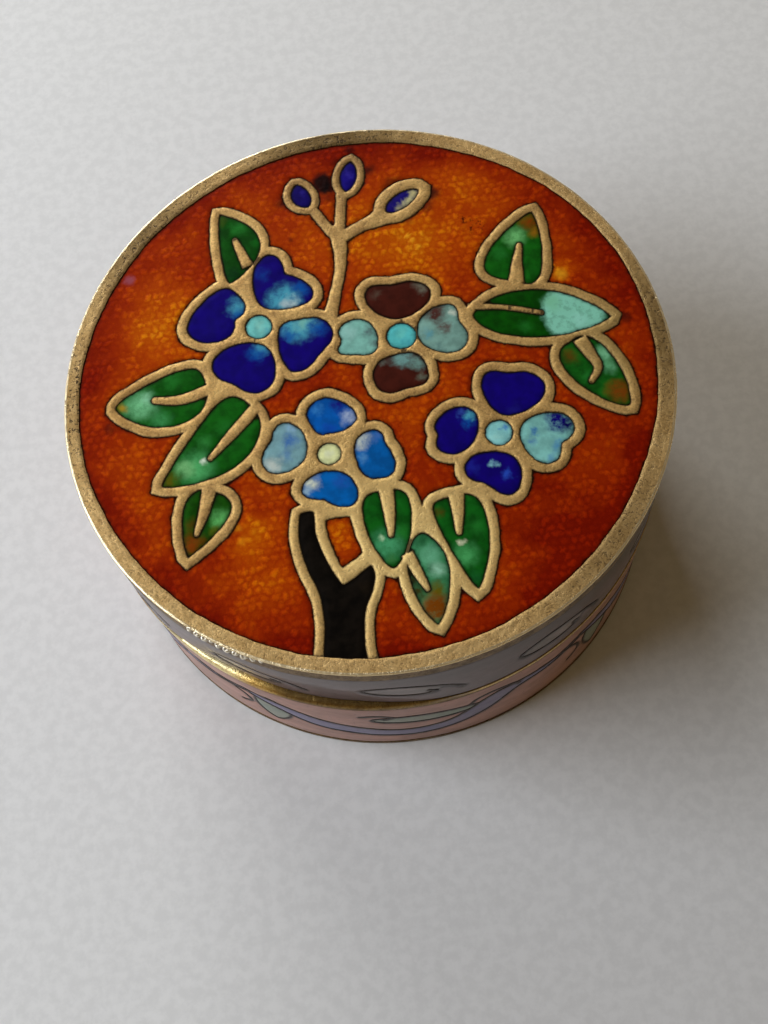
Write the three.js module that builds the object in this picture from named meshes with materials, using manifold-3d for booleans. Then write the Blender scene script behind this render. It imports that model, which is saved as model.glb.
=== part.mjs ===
// Round cloisonne enamel box with a lift-off lid. Millimetres, +Z up,
// origin on the table plane at the centre of the foot.
import * as THREE from 'three';
import { mergeVertices } from 'three/addons/utils/BufferGeometryUtils.js';
import Module from 'manifold-3d';

const wasm = await Module();
wasm.setup();

// ---------- driving dimensions (mm) ----------
const R_OUT = 20.0;            // radius over the lid's rims
const H_TOTAL = 19.1;          // table to the top of the rim
const H_LID = 8.6;             // height of the lid
const SEAM = 0.1;              // open line between lid and base
const R_CORE = 19.4;           // bottom of the side recesses that hold the enamel
const FIT = 0.03;              // clearance round each fill of enamel

const RIM_IN = 18.8;           // inside edge of the raised rim round the picture
const TRAY = 1.0;              // depth of the picture tray below the rim
const PLATE = 0.75;            // thickness of the lid plate
const R_LID_IN = 18.45;        // inside of the lid wall
const LID_TOP_BAND = 1.4;      // plain band under the rim
const LID_LOW_BAND = 0.55;     // plain band at the lid's lower edge

const R_BASE = 19.93;          // radius over the base's top lip
const R_FOOT = 19.88;          // radius at the foot
const BASE_LIP = 0.35;         // plain lip above the base enamel
const FOOT_BAND = 0.7;         // plain band at the foot
const FOOT_IN = 18.2;          // inside of the foot ring
const FOOT_DEPTH = 0.9;        // recess under the base
const FLOOR_Z = 1.75;          // floor inside the base
const R_BASE_IN = 18.2;        // inside of the base wall
const COLLAR_R = 18.15;        // outside of the collar that the lid drops over
const COLLAR_IN = 17.5;        // inside of the collar
const COLLAR_UP = 3.0;         // how far the collar stands above the lip
const COLLAR_DOWN = 3.4;       // how far it runs down inside

const SEGMENTS = 40;           // facets round the turned parts
const WIRE = 0.68;             // width of the flat cloison wires
const EYE_WIRE = 1.1;          // brass round a flower's centre, out to its petals
const TRUNK_WIRE = 0.6;        // width of the wires beside the trunk
const WIRE_PROUD = 0.02;       // wires end this much below the rim
const ENAMEL_LOW = 0.09;       // enamel ends this much below the rim

// ---------- finishes ----------
const finish = (color, roughness, metalness) =>
  new THREE.MeshStandardMaterial({ color, roughness, metalness });
const BRASS = () => finish('#b0904f', 0.42, 1.0);
const WIRE_BRASS = () => finish('#c8a56e', 0.45, 1.0);
const C = {
  cobalt: '#14006e', blue: '#0c52b0', pale: '#7db4c8', aqua: '#7fc4b4', turquoise: '#4fb0bc',
  cream: '#d8e0b0', maroon: '#3d1410', green: '#0f6a1e', leafmint: '#2f8c46', black: '#100c08',
  orange: '#a83a04', lilac: '#7d7076', pink: '#a58280', indigo: '#150a50',
};
const glaze = (c) => finish(C[c], 0.12, 0.0);

// ---------- solids ----------
const group = new THREE.Group();
const place = (name, geometry, material) => {
  const m = new THREE.Mesh(geometry, material);
  m.name = name;
  group.add(m);
};
const turned = (profile) => {
  const g = new THREE.LatheGeometry(profile.map(([r, z]) => new THREE.Vector2(r, z)), SEGMENTS);
  g.rotateX(Math.PI / 2);
  return g;
};
const toSolid = (g) => {
  const p = g.index ? g.toNonIndexed() : g.clone();
  p.deleteAttribute('normal');
  p.deleteAttribute('uv');
  const m = mergeVertices(p, 1e-4);
  return new wasm.Manifold(new wasm.Mesh({
    numProp: 3,
    vertProperties: new Float32Array(m.attributes.position.array),
    triVerts: new Uint32Array(m.index.array),
  }));
};
const toGeometry = (s) => {
  const m = s.getMesh();
  const g = new THREE.BufferGeometry();
  const xyz = new Float32Array(m.numVert * 3);
  for (let i = 0; i < m.numVert; i++)
    for (let k = 0; k < 3; k++) xyz[i * 3 + k] = m.vertProperties[i * m.numProp + k];
  g.setAttribute('position', new THREE.BufferAttribute(xyz, 3));
  g.setIndex(new THREE.BufferAttribute(new Uint32Array(m.triVerts), 1));
  return g;
};
const slab = (outline, z0, z1) => {
  const s = new THREE.Shape(outline.map(([x, y]) => new THREE.Vector2(x, y)));
  const g = new THREE.ExtrudeGeometry(s, { depth: z1 - z0, bevelEnabled: false });
  g.translate(0, 0, z0);
  return toSolid(g);
};

// ---------- outlines ----------
const rad = Math.PI / 180;
const spow = (x, e) => Math.sign(x) * Math.abs(x) ** e;

// Petal: a rounded lobe with one notch. at = middle, aim = direction of its length in degrees,
// l x w = size, wide = how much the outer end is wider, box = squareness,
// notch = depth of the notch as a share, notchAt = its direction, bend = sideways curl.
function petal({ at, aim, l, w, wide, box, notch, notchAt, bend }, n) {
  const out = [];
  for (let i = 0; i < n; i++) {
    const t = (2 * Math.PI * i) / n;
    const d = ((t - notchAt * rad + 3 * Math.PI) % (2 * Math.PI)) - Math.PI;
    const f = 1 - notch * Math.exp(-((d / 0.42) ** 2));
    const u = spow(Math.cos(t), 1 / box) * (l / 2) * f;
    const v = spow(Math.sin(t), 1 / box) * (w / 2) * (1 + wide * Math.cos(t)) * f + bend * ((2 * u) / l) ** 2;
    const a = aim * rad;
    out.push([at[0] + u * Math.cos(a) - v * Math.sin(a), at[1] + u * Math.sin(a) + v * Math.cos(a)]);
  }
  return out;
}

// Leaf: from its foot to its tip, left and right half widths, full = bluntness at the foot,
// point = sharpness at the tip, bend = sideways curl of the middle line.
function leaf({ foot, tip, left, right, full, point, bend }, n) {
  const L = Math.hypot(tip[0] - foot[0], tip[1] - foot[1]);
  const [ux, uy] = [(tip[0] - foot[0]) / L, (tip[1] - foot[1]) / L];
  const top = full / (full + point);
  const peak = top ** full * (1 - top) ** point;
  const side = (t, w) => {
    const h = (w * t ** full * (1 - t) ** point) / peak + bend * 4 * t * (1 - t);
    return [foot[0] + ux * t * L - uy * h, foot[1] + uy * t * L + ux * h];
  };
  const m = n / 2;
  const step = (i) => (1 - Math.cos((Math.PI * i) / m)) / 2;
  const out = [];
  for (let i = 0; i <= m; i++) out.push(side(step(i), left));
  for (let i = m - 1; i > 0; i--) out.push(side(step(i), -right));
  return out;
}

// Ribbon: a strip along a smooth middle line through [x, y, width] stations.
function ribbon(stations, steps, roundEnd = true) {
  const curve = new THREE.CatmullRomCurve3(stations.map(([x, y, w]) => new THREE.Vector3(x, y, w)), false, 'centripetal');
  const left = [], right = [];
  let end = null;
  for (let i = 0; i <= steps; i++) {
    const p = curve.getPoint(i / steps), d = curve.getTangent(i / steps);
    const k = p.z / 2 / Math.hypot(d.x, d.y);
    left.push([p.x - d.y * k, p.y + d.x * k]);
    right.push([p.x + d.y * k, p.y - d.x * k]);
    end = [p.x + d.x * k, p.y + d.y * k];
  }
  return [...left, ...(roundEnd ? [end] : []), ...right.reverse()];
}

const disc = ([x, y], r, n) =>
  Array.from({ length: n }, (_, i) => [x + r * Math.cos((2 * Math.PI * i) / n), y + r * Math.sin((2 * Math.PI * i) / n)]);

// Outline grown outwards by w along the bisectors of its corners.
function grow(outline, w) {
  const n = outline.length;
  let area = 0;
  outline.forEach(([x, y], i) => { const [a, b] = outline[(i + 1) % n]; area += x * b - a * y; });
  const s = Math.sign(area);
  return outline.map(([x, y], i) => {
    const [px, py] = outline[(i + n - 1) % n], [qx, qy] = outline[(i + 1) % n];
    const a = Math.hypot(x - px, y - py), b = Math.hypot(qx - x, qy - y);
    let nx = s * ((y - py) / a + (qy - y) / b), ny = -s * ((x - px) / a + (qx - x) / b);
    const l = Math.hypot(nx, ny), k = w / Math.max(l / 2, 0.62) / l;
    return [x + nx * k, y + ny * k];
  });
}

// ---------- the picture's cells ----------
const FLOWERS = [
  { name: 'flower_1', eye: [-6.55, 5.15], r: 0.92, eyeGlaze: 'aqua', petals: [
    { name: 'upper_right', glaze: 'cobalt', at: [-4.92, 8.23], aim: 29, l: 3.72, w: 4.56, wide: 0.36, box: 1.1, notch: 0.45, notchAt: 13, bend: -0.39 },
    { name: 'left', glaze: 'cobalt', at: [-9.16, 6.34], aim: 132, l: 3.35, w: 4.35, wide: 0.21, box: 1.2, notch: 0.32, notchAt: 200, bend: -0.12 },
    { name: 'lower_left', glaze: 'cobalt', at: [-7.78, 2.34], aim: -119, l: 3.83, w: 4.32, wide: 0.16, box: 0.97, notch: 0.19, notchAt: -10, bend: 0.28 },
    { name: 'right', glaze: 'cobalt', at: [-3.87, 3.35], aim: -29, l: 3.72, w: 4.29, wide: 0.22, box: 0.87, notch: 0.15, notchAt: -22, bend: 0.66 }] },
  { name: 'flower_2', eye: [2.72, 2.71], r: 1.0, eyeGlaze: 'turquoise', petals: [
    { name: 'top', glaze: 'maroon', at: [2.92, 5.54], aim: 83, l: 3.09, w: 4.3, wide: 0.26, box: 1.03, notch: 0.23, notchAt: 9, bend: 0.11 },
    { name: 'right', glaze: 'aqua', at: [5.49, 2.73], aim: 0, l: 3.4, w: 3.66, wide: 0.18, box: 1.09, notch: 0.27, notchAt: 15, bend: -0.03 },
    { name: 'left', glaze: 'aqua', at: [-0.22, 3.2], aim: 171, l: 2.88, w: 2.76, wide: -0.02, box: 1.2, notch: 0.29, notchAt: 0, bend: 0.46 },
    { name: 'bottom', glaze: 'maroon', at: [2.24, -0.02], aim: -84, l: 2.93, w: 3.57, wide: 0.04, box: 1.26, notch: 0.16, notchAt: 3, bend: 0.06 }] },
  { name: 'flower_3', eye: [-3.14, -4.95], r: 0.78, eyeGlaze: 'cream', petals: [
    { name: 'top', glaze: 'blue', at: [-2.66, -2.41], aim: 74, l: 2.81, w: 3.29, wide: 0.19, box: 0.84, notch: 0.13, notchAt: 193, bend: 0.29 },
    { name: 'left', glaze: 'pale', at: [-5.88, -4.08], aim: 157, l: 2.86, w: 3.64, wide: 0.18, box: 1.05, notch: 0.22, notchAt: -13, bend: 0.11 },
    { name: 'right', glaze: 'blue', at: [-0.3, -5.51], aim: 7, l: 2.46, w: 3.49, wide: 0.09, box: 1.25, notch: 0.22, notchAt: 15, bend: -0.05 },
    { name: 'bottom', glaze: 'blue', at: [-3.37, -7.35], aim: -110, l: 2.58, w: 3.54, wide: 0.23, box: 1.05, notch: 0.32, notchAt: -12, bend: 0.14 }] },
  { name: 'flower_4', eye: [7.76, -5.4], r: 0.9, eyeGlaze: 'aqua', petals: [
    { name: 'top', glaze: 'cobalt', at: [9.12, -2.66], aim: 69, l: 3.49, w: 4.04, wide: 0.27, box: 1.02, notch: 0.23, notchAt: 13, bend: 0.12 },
    { name: 'left', glaze: 'cobalt', at: [5.08, -4.72], aim: 138, l: 2.8, w: 3.58, wide: 0.03, box: 1.04, notch: 0.28, notchAt: 40, bend: 0.16 },
    { name: 'right', glaze: 'aqua', at: [10.69, -6.15], aim: -35, l: 3.54, w: 3.65, wide: 0.23, box: 0.97, notch: 0.38, notchAt: -3, bend: -0.05 },
    { name: 'bottom', glaze: 'cobalt', at: [6.96, -7.97], aim: -121, l: 2.88, w: 3.64, wide: 0.2, box: 1.1, notch: 0.27, notchAt: -10, bend: 0.34 }] },
];

const LEAVES = [
  { name: 'leaf_top_left', foot: [-8.1, 8.9], tip: [-8.2, 14.6], left: 1.1, right: 1.7, full: 0.79, point: 0.83, bend: -0.75, vein: [[-6.75, 10.0, 0.8], [-7.1, 11.2, 0.65], [-7.4, 12.3, 0.4]] },
  { name: 'leaf_left', foot: [-10.5, 1.6], tip: [-16.6, 0.7], left: 1.94, right: 1.86, full: 0.32, point: 0.66, bend: 0.53, vein: [[-10.2, 1.1, 0.8], [-12.2, 0.65, 0.75], [-13.9, 0.9, 0.5]] },
  { name: 'leaf_lower_left', foot: [-7.9, -0.4], tip: [-13.95, -5.35], left: 2.03, right: 2.0, full: 0.37, point: 0.81, bend: 0.69, vein: [[-7.3, -0.7, 0.8], [-9, -2.3, 0.75], [-10.7, -3.9, 0.4]] },
  { name: 'leaf_bottom_left', foot: [-10.75, -6.25], tip: [-12.8, -10.45], left: 1.64, right: 1.33, full: 0.33, point: 0.93, bend: -0.13, vein: [[-11.0, -6.0, 1.0], [-11.5, -7.6, 0.7], [-12.1, -9.0, 0.35]] },
  { name: 'leaf_bottom_centre', foot: [-0.05, -8.1], tip: [-0.25, -13.3], left: 1.53, right: 1.54, full: 0.25, point: 0.65, bend: 0.02, vein: [[0.07, -7.9, 1.0], [0.05, -9.6, 0.75], [-0.1, -11.1, 0.4]] },
  { name: 'leaf_narrow', foot: [1.75, -11.3], tip: [1.85, -17.35], left: 1.25, right: 1.25, full: 0.62, point: 0.84, bend: 0.05, vein: [[0.7, -12.5, 0.8], [1.15, -13.8, 0.65], [1.6, -15.0, 0.35]] },
  { name: 'leaf_bottom_right', foot: [4.0, -9.25], tip: [4.63, -15.5], left: 1.58, right: 1.52, full: 0.22, point: 0.8, bend: 0.28, vein: [[4.35, -8.9, 1.1], [4.25, -10.4, 0.75], [4.1, -11.7, 0.4]] },
  { name: 'leaf_top_right', foot: [10.6, 5.5], tip: [12.98, 10.65], left: 2.07, right: 1.8, full: 0.22, point: 0.81, bend: 0.06, vein: [[10.9, 5.3, 1.1], [11.25, 6.8, 0.75], [11.65, 8.2, 0.4]] },
  { name: 'leaf_right', foot: [7.65, 3.35], tip: [16.5, 1.62], left: 1.96, right: 1.73, full: 0.66, point: 0.84, bend: 0.1, vein: [[7.4, 4.1, 0.5], [9.8, 3.6, 0.4], [12.1, 2.75, 0.35]] },
  { name: 'leaf_lower_right', foot: [13.55, 0.3], tip: [16.3, -5.0], left: 1.45, right: 1.65, full: 0.31, point: 0.69, bend: 0.02, vein: [[14.15, 0.4, 1.0], [14.6, -0.8, 0.8], [14.9, -1.9, 0.6], [14.3, -2.8, 0.4]] },
];
const BUDS = [
  { name: 'bud_left', foot: [-2.06, 14.0], tip: [-2.7, 16.05], left: 0.71, right: 0.62, full: 0.66, point: 0.72, bend: 0.06 },
  { name: 'bud_middle', foot: [0.69, 14.78], tip: [1.4, 17.27], left: 0.59, right: 0.6, full: 0.69, point: 0.71, bend: 0.02 },
  { name: 'bud_right', foot: [3.2, 12.6], tip: [5.65, 14.0], left: 0.6, right: 0.62, full: 0.55, point: 0.62, bend: 0.05, wire: 0.86 },
];
const BUD_WIRE = 0.55;
const STEMS = [
  [[-1.75, 4.9, 1.0], [-1.15, 6.7, 0.8], [-0.5, 8.9, 0.8], [-0.35, 10.8, 1.05], [-0.45, 11.7, 1.1]],
  [[-0.4, 11.2, 0.8], [-1.2, 12.5, 0.75], [-1.85, 13.9, 0.7]],
  [[-0.2, 11.4, 0.8], [0.05, 13.0, 0.75], [0.35, 14.6, 0.8]],
  [[-0.1, 11.1, 0.9], [1.35, 11.75, 0.95], [2.4, 12.1, 1.3], [3.2, 12.4, 1.7]],
];
// Forked trunk: each limb and the stem by its left and right edge at a height.
const LIMB_LEFT = [[-8.75, -5.5, -4.65], [-10.2, -5.8, -4.72], [-11.5, -5.72, -4.45], [-12.7, -5.45, -4.05]];
const LIMB_RIGHT = [[-12.9, -1.6], [-13.55, -2.75]];
const FORK = [-3.5, -13.85];
const STEM = [[-13.6, -5.14, -1.43], [-14.6, -4.93, -1.75], [-15.5, -4.9, -2.25], [-16.4, -4.93, -2.52], [-17.9, -5.2, -2.68], [-19.5, -5.45, -2.75]];
const TRUNK = [
  ...LIMB_LEFT.map(([y, , x]) => [x, y]), FORK, ...LIMB_RIGHT.map(([y, x]) => [x, y]).reverse(),
  ...STEM.map(([y, , x]) => [x, y]), ...STEM.map(([y, x]) => [x, y]).reverse(), ...LIMB_LEFT.map(([y, x]) => [x, y]).reverse(),
];
// Window between the limbs: left and right edge at a height, then its point.
const PANE = [[-9.45, -3.95, -2.45], [-10.75, -3.92, -2.3], [-12.0, -3.62, -2.02]];
const WINDOW = [...PANE.map(([y, , x]) => [x, y]), [-3.35, -12.75], ...PANE.map(([y, x]) => [x, y]).reverse()];

// ---------- turned brass and side enamel ----------
const zLid = H_TOTAL - H_LID;
const zTray = H_TOTAL - TRAY;
const zPlate = zTray - PLATE;
const zLip = zLid - SEAM;
place('lid_cup', turned([
  [0, zTray], [RIM_IN, zTray], [RIM_IN, H_TOTAL], [R_OUT - 0.4, H_TOTAL], [R_OUT - 0.1, H_TOTAL - 0.15], [R_OUT, H_TOTAL - 0.5],
  [R_OUT, H_TOTAL - LID_TOP_BAND], [R_CORE, H_TOTAL - LID_TOP_BAND], [R_CORE, zLid + LID_LOW_BAND],
  [R_OUT, zLid + LID_LOW_BAND], [R_OUT, zLid + 0.2], [R_OUT - 0.15, zLid], [R_LID_IN, zLid], [R_LID_IN, zPlate - 0.5],
  [R_LID_IN - 0.5, zPlate], [0, zPlate]].reverse()), BRASS());
place('lid_side_enamel', turned([
  [R_CORE + FIT, zLid + LID_LOW_BAND + FIT], [R_OUT - 0.05, zLid + LID_LOW_BAND + FIT],
  [R_OUT - 0.05, H_TOTAL - LID_TOP_BAND - FIT], [R_CORE + FIT, H_TOTAL - LID_TOP_BAND - FIT],
  [R_CORE + FIT, zLid + LID_LOW_BAND + FIT]]), glaze('lilac'));
place('base_cup', turned([
  [0, FOOT_DEPTH], [FOOT_IN, FOOT_DEPTH], [FOOT_IN, 0], [R_FOOT - 0.08, 0], [R_FOOT, 0.1], [R_FOOT, FOOT_BAND],
  [R_CORE, FOOT_BAND], [R_CORE, zLip - BASE_LIP], [R_BASE, zLip - BASE_LIP], [R_BASE - 0.1, zLip], [COLLAR_R, zLip],
  [COLLAR_R, zLip + COLLAR_UP - 0.15], [COLLAR_R - 0.15, zLip + COLLAR_UP], [COLLAR_IN, zLip + COLLAR_UP],
  [COLLAR_IN, zLip - COLLAR_DOWN], [R_BASE_IN, zLip - COLLAR_DOWN - 0.4], [R_BASE_IN, FLOOR_Z + 0.6],
  [R_BASE_IN - 0.6, FLOOR_Z], [0, FLOOR_Z]]), BRASS());
place('base_side_enamel', turned([
  [R_CORE + FIT, FOOT_BAND + FIT], [R_FOOT, FOOT_BAND + FIT], [R_BASE - 0.03, zLip - BASE_LIP - FIT],
  [R_CORE + FIT, zLip - BASE_LIP - FIT], [R_CORE + FIT, FOOT_BAND + FIT]]), glaze('pink'));
place('base_underside_enamel', turned([
  [0, 0.35], [FOOT_IN - FIT, 0.35], [FOOT_IN - FIT, FOOT_DEPTH - FIT], [0, FOOT_DEPTH - FIT]]), glaze('pink'));

// ---------- the picture ----------
const PETAL_N = 12, LEAF_N = 12, OUTER_N = 10, BUD_N = 8, EYE_N = 8;
const zBed = zTray + 0.02;
const zWire = H_TOTAL - WIRE_PROUD;
const zGlaze = H_TOTAL - ENAMEL_LOW;
const cells = [];              // { name, glaze, outline, outer, vein }; outer = outside of the wire round the cell
for (const f of FLOWERS) {
  for (const p of f.petals) cells.push({ name: `${f.name}_petal_${p.name}`, glaze: p.glaze, outline: petal(p, PETAL_N), outer: grow(petal(p, OUTER_N), WIRE) });
  cells.push({ name: `${f.name}_centre`, glaze: f.eyeGlaze, outline: disc(f.eye, f.r, EYE_N), outer: disc(f.eye, f.r + EYE_WIRE, EYE_N) });
}
for (const l of LEAVES) cells.push({ name: l.name, glaze: 'green', outline: leaf(l, LEAF_N), outer: grow(leaf(l, OUTER_N), WIRE), vein: ribbon(l.vein, 3) });
for (const b of BUDS) cells.push({ name: b.name, glaze: 'indigo', outline: leaf(b, BUD_N), outer: grow(leaf(b, BUD_N), b.wire ?? BUD_WIRE) });
cells.push({ name: 'trunk_window', glaze: 'orange', outline: WINDOW, outer: grow(WINDOW, TRUNK_WIRE) });

const join = (list) => list.reduce((a, b) => a.add(b));
const trunkSolid = (w, z0, z1) => slab(w ? grow(TRUNK, w) : TRUNK, z0, z1);
const field = slab(disc([0, 0], RIM_IN - FIT, SEGMENTS), zBed - 2, H_TOTAL + 2);

let wires = join([
  ...cells.map((c) => slab(c.outer, zBed, zWire)),
  trunkSolid(TRUNK_WIRE, zBed, zWire),
]);
wires = wires.subtract(join([
  ...cells.map((c) => slab(grow(c.outline, FIT), zBed - 1, zWire + 1)),
  trunkSolid(FIT, zBed - 1, zWire + 1),
]));
wires = join([
  wires,
  ...cells.filter((c) => c.vein).map((c) => slab(c.vein, zBed, zWire)),
  ...STEMS.map((s) => slab(ribbon(s, 4), zBed, zWire)),
]).intersect(field);
// A bud's own cell stays clear of its stem.
wires = wires.subtract(join(cells.filter((c) => c.name.startsWith('bud')).map((c) => slab(grow(c.outline, FIT), zBed - 1, zWire + 1))));

const biggest = (s) => s.decompose().sort((a, b) => b.volume() - a.volume());
const network = biggest(wires)[0].simplify(0.02);
place('cloison_wires', toGeometry(network), WIRE_BRASS());

// What the wires keep free of enamel: their own outline with a little clearance.
const keepOff = (c) => slab(grow(c.vein, FIT), zBed - 1, zGlaze + 1);
for (const c of cells) {
  let s = slab(c.outline, zBed, zGlaze);
  if (c.vein) s = s.subtract(keepOff(c));
  place(c.name, toGeometry(biggest(s)[0].simplify(0.008)), glaze(c.glaze));
}
place('trunk', toGeometry(trunkSolid(0, zBed, zGlaze).intersect(field).simplify(0.008)), glaze('black'));

// Ground: the field less everything inside the outer outline of the wires.
const keep = join([
  ...cells.map((c) => slab(grow(c.outer, FIT), zBed - 1, zGlaze + 1)),
  trunkSolid(TRUNK_WIRE + FIT, zBed - 1, zGlaze + 1),
  ...STEMS.map((s) => slab(grow(ribbon(s, 4), FIT), zBed - 1, zGlaze + 1)),
  ...cells.filter((c) => c.vein).map(keepOff),
]);
const MIN_GROUND = 0.35;       // smaller pockets between wires are solder, not enamel (mm3)
const grounds = biggest(slab(disc([0, 0], RIM_IN - FIT, SEGMENTS), zBed, zGlaze).subtract(keep).subtract(network))
  .filter((s) => s.volume() > MIN_GROUND);
grounds.forEach((s, i) => place(i ? `ground_enamel_pocket_${i}` : 'ground_enamel', toGeometry(s.simplify(0.008)), glaze('orange')));

export default group;
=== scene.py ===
import bpy, math, random
import numpy as np
from mathutils import Vector, Matrix, kdtree
from mathutils.geometry import delaunay_2d_cdt


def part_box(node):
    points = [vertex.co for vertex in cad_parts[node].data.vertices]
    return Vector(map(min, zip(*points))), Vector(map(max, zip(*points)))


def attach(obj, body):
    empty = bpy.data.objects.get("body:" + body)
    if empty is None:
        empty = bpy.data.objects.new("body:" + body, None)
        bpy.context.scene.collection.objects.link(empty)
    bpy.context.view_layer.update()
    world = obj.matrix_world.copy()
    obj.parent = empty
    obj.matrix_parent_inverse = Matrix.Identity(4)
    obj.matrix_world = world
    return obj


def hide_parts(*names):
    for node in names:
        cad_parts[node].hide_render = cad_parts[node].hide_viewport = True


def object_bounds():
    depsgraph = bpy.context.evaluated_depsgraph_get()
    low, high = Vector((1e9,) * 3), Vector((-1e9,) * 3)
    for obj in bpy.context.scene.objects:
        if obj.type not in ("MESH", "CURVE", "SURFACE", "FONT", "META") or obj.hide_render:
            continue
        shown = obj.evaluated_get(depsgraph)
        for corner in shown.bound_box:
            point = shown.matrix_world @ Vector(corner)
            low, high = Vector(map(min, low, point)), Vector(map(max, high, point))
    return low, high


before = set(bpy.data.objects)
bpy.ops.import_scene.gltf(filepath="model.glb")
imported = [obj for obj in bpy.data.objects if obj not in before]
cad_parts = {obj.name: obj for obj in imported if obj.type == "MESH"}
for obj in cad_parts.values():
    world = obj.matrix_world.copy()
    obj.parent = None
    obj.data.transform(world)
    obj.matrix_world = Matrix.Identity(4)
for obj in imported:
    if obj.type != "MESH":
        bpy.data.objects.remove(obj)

MM = 0.001
cad_lo, cad_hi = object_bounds()

# ---------------------------------------------------------------- sizes (mm)
H = cad_hi.z / MM                       # table to the top of the rim
R = cad_hi.x / MM                       # radius over the lid's rims
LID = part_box("lid_cup")
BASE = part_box("base_cup")
Z_SEAM = LID[0].z / MM                  # lower edge of the lid
Z_LIP = Z_SEAM - 0.1                    # the base's lip, just under it
Z_COLLAR = BASE[1].z / MM               # top of the collar inside the lid
R_BASE = BASE[1].x / MM
R_FOOT = 19.88
R_CORE = 19.4
R_FIELD = 18.888                        # inside of the rim, before its unevenness
RIM_WAVES = [(-0.035, 0.014), (0.052, 0.115), (-0.007, 0.068), (0.02, 0.026), (-0.017, 0.01)]
Z_BED = H - 1.0
WIRE = 0.66


# ---------------------------------------------------------------- smooth noise
def wave(seed, x, octaves=((1, 1.0), (2, 0.6), (3, 0.5), (5, 0.35), (8, 0.22))):
    """Periodic smooth noise of an angle, about -1 to 1."""
    rng = random.Random(seed)
    total = sum(a for _, a in octaves)
    out = np.zeros_like(np.asarray(x, float))
    for k, a in octaves:
        out = out + a * np.sin(k * x + rng.uniform(0, 6.28318))
    return out / total * 1.6


def hash2(ix, iy, seed):
    n = (ix.astype(np.int64) * 374761393 + iy.astype(np.int64) * 668265263 + seed * 974634777) & 0xFFFFFFFF
    n = ((n ^ (n >> 13)) * 1274126177) & 0xFFFFFFFF
    return ((n ^ (n >> 16)) & 0xFFFFFF) / float(0xFFFFFF)


def value_noise(x, y, scale, seed):
    """Smooth value noise, -1 to 1; scale is the size of its features."""
    x, y = np.asarray(x) / scale, np.asarray(y) / scale
    ix, iy = np.floor(x), np.floor(y)
    fx, fy = x - ix, y - iy
    fx, fy = fx * fx * (3 - 2 * fx), fy * fy * (3 - 2 * fy)
    ix, iy = ix.astype(np.int64), iy.astype(np.int64)
    a, b = hash2(ix, iy, seed), hash2(ix + 1, iy, seed)
    c, d = hash2(ix, iy + 1, seed), hash2(ix + 1, iy + 1, seed)
    return 2 * ((a * (1 - fx) + b * fx) * (1 - fy) + (c * (1 - fx) + d * fx) * fy) - 1


def smooth(a, b, x):
    t = np.clip((np.asarray(x, float) - a) / (b - a), 0, 1)
    return t * t * (3 - 2 * t)


# ---------------------------------------------------------------- outlines
def spow(x, e):
    return np.sign(x) * np.abs(x) ** e


def resample(P, step):
    P = np.asarray(P, float)
    Q = np.vstack([P, P[:1]])
    seg = np.hypot(*(Q[1:] - Q[:-1]).T)
    s = np.concatenate([[0], np.cumsum(seg)])
    n = max(8, int(round(s[-1] / step)))
    t = np.linspace(0, s[-1], n, endpoint=False)
    return np.stack([np.interp(t, s, Q[:, 0]), np.interp(t, s, Q[:, 1])], -1)


def petal(at, aim, l, w, wide, box, notch, notch_at, bend, n=240):
    t = np.linspace(0, 2 * math.pi, n, endpoint=False)
    c, s = np.cos(t), np.sin(t)
    d = (t - math.radians(notch_at) + math.pi) % (2 * math.pi) - math.pi
    f = 1 - notch * np.exp(-(d / 0.42) ** 2)
    u = spow(c, 1 / box) * l / 2 * f
    v = spow(s, 1 / box) * w / 2 * (1 + wide * c) * f + bend * (2 * u / l) ** 2
    a = math.radians(aim)
    return np.stack([at[0] + u * math.cos(a) - v * math.sin(a), at[1] + u * math.sin(a) + v * math.cos(a)], -1)


def leaf(foot, tip, left, right, full, point, bend, n=160):
    foot, tip = np.array(foot, float), np.array(tip, float)
    L = np.hypot(*(tip - foot))
    ax = (tip - foot) / L
    nr = np.array([-ax[1], ax[0]])
    top = full / (full + point)
    peak = top ** full * (1 - top) ** point
    m = n // 2
    t = (1 - np.cos(np.linspace(0, math.pi, m + 1))) / 2
    h = t ** full * (1 - t) ** point / peak
    mid = foot + np.outer(t * L, ax) + np.outer(bend * 4 * t * (1 - t), nr)
    return np.vstack([mid + np.outer(h * left, nr), (mid - np.outer(h * right, nr))[::-1][1:-1]])


def spline(P, m=10):
    P = np.asarray(P, float)
    n, out = len(P), []
    for i in range(n - 1):
        p0, p1, p2, p3 = P[max(i - 1, 0)], P[i], P[i + 1], P[min(i + 2, n - 1)]
        for j in range(m):
            t = j / m
            out.append(0.5 * (2 * p1 + (-p0 + p2) * t + (2 * p0 - 5 * p1 + 4 * p2 - p3) * t * t + (-p0 + 3 * p1 - 3 * p2 + p3) * t ** 3))
    out.append(P[-1])
    return np.array(out)


def spline_loop(P, ease):
    """A closed outline through points: straight runs with eased corners. ease 0 is sharp, 1 is round."""
    P = np.asarray(P, float)
    n, out = len(P), []
    for i in range(n):
        p0, p1, p2, p3 = P[i - 1], P[i], P[(i + 1) % n], P[(i + 2) % n]
        for j in range(8):
            t = j / 8
            curve = 0.5 * (2 * p1 + (-p0 + p2) * t + (2 * p0 - 5 * p1 + 4 * p2 - p3) * t * t + (-p0 + 3 * p1 - 3 * p2 + p3) * t ** 3)
            out.append(curve * ease + (p1 + (p2 - p1) * t) * (1 - ease))
    return np.array(out)


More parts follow.
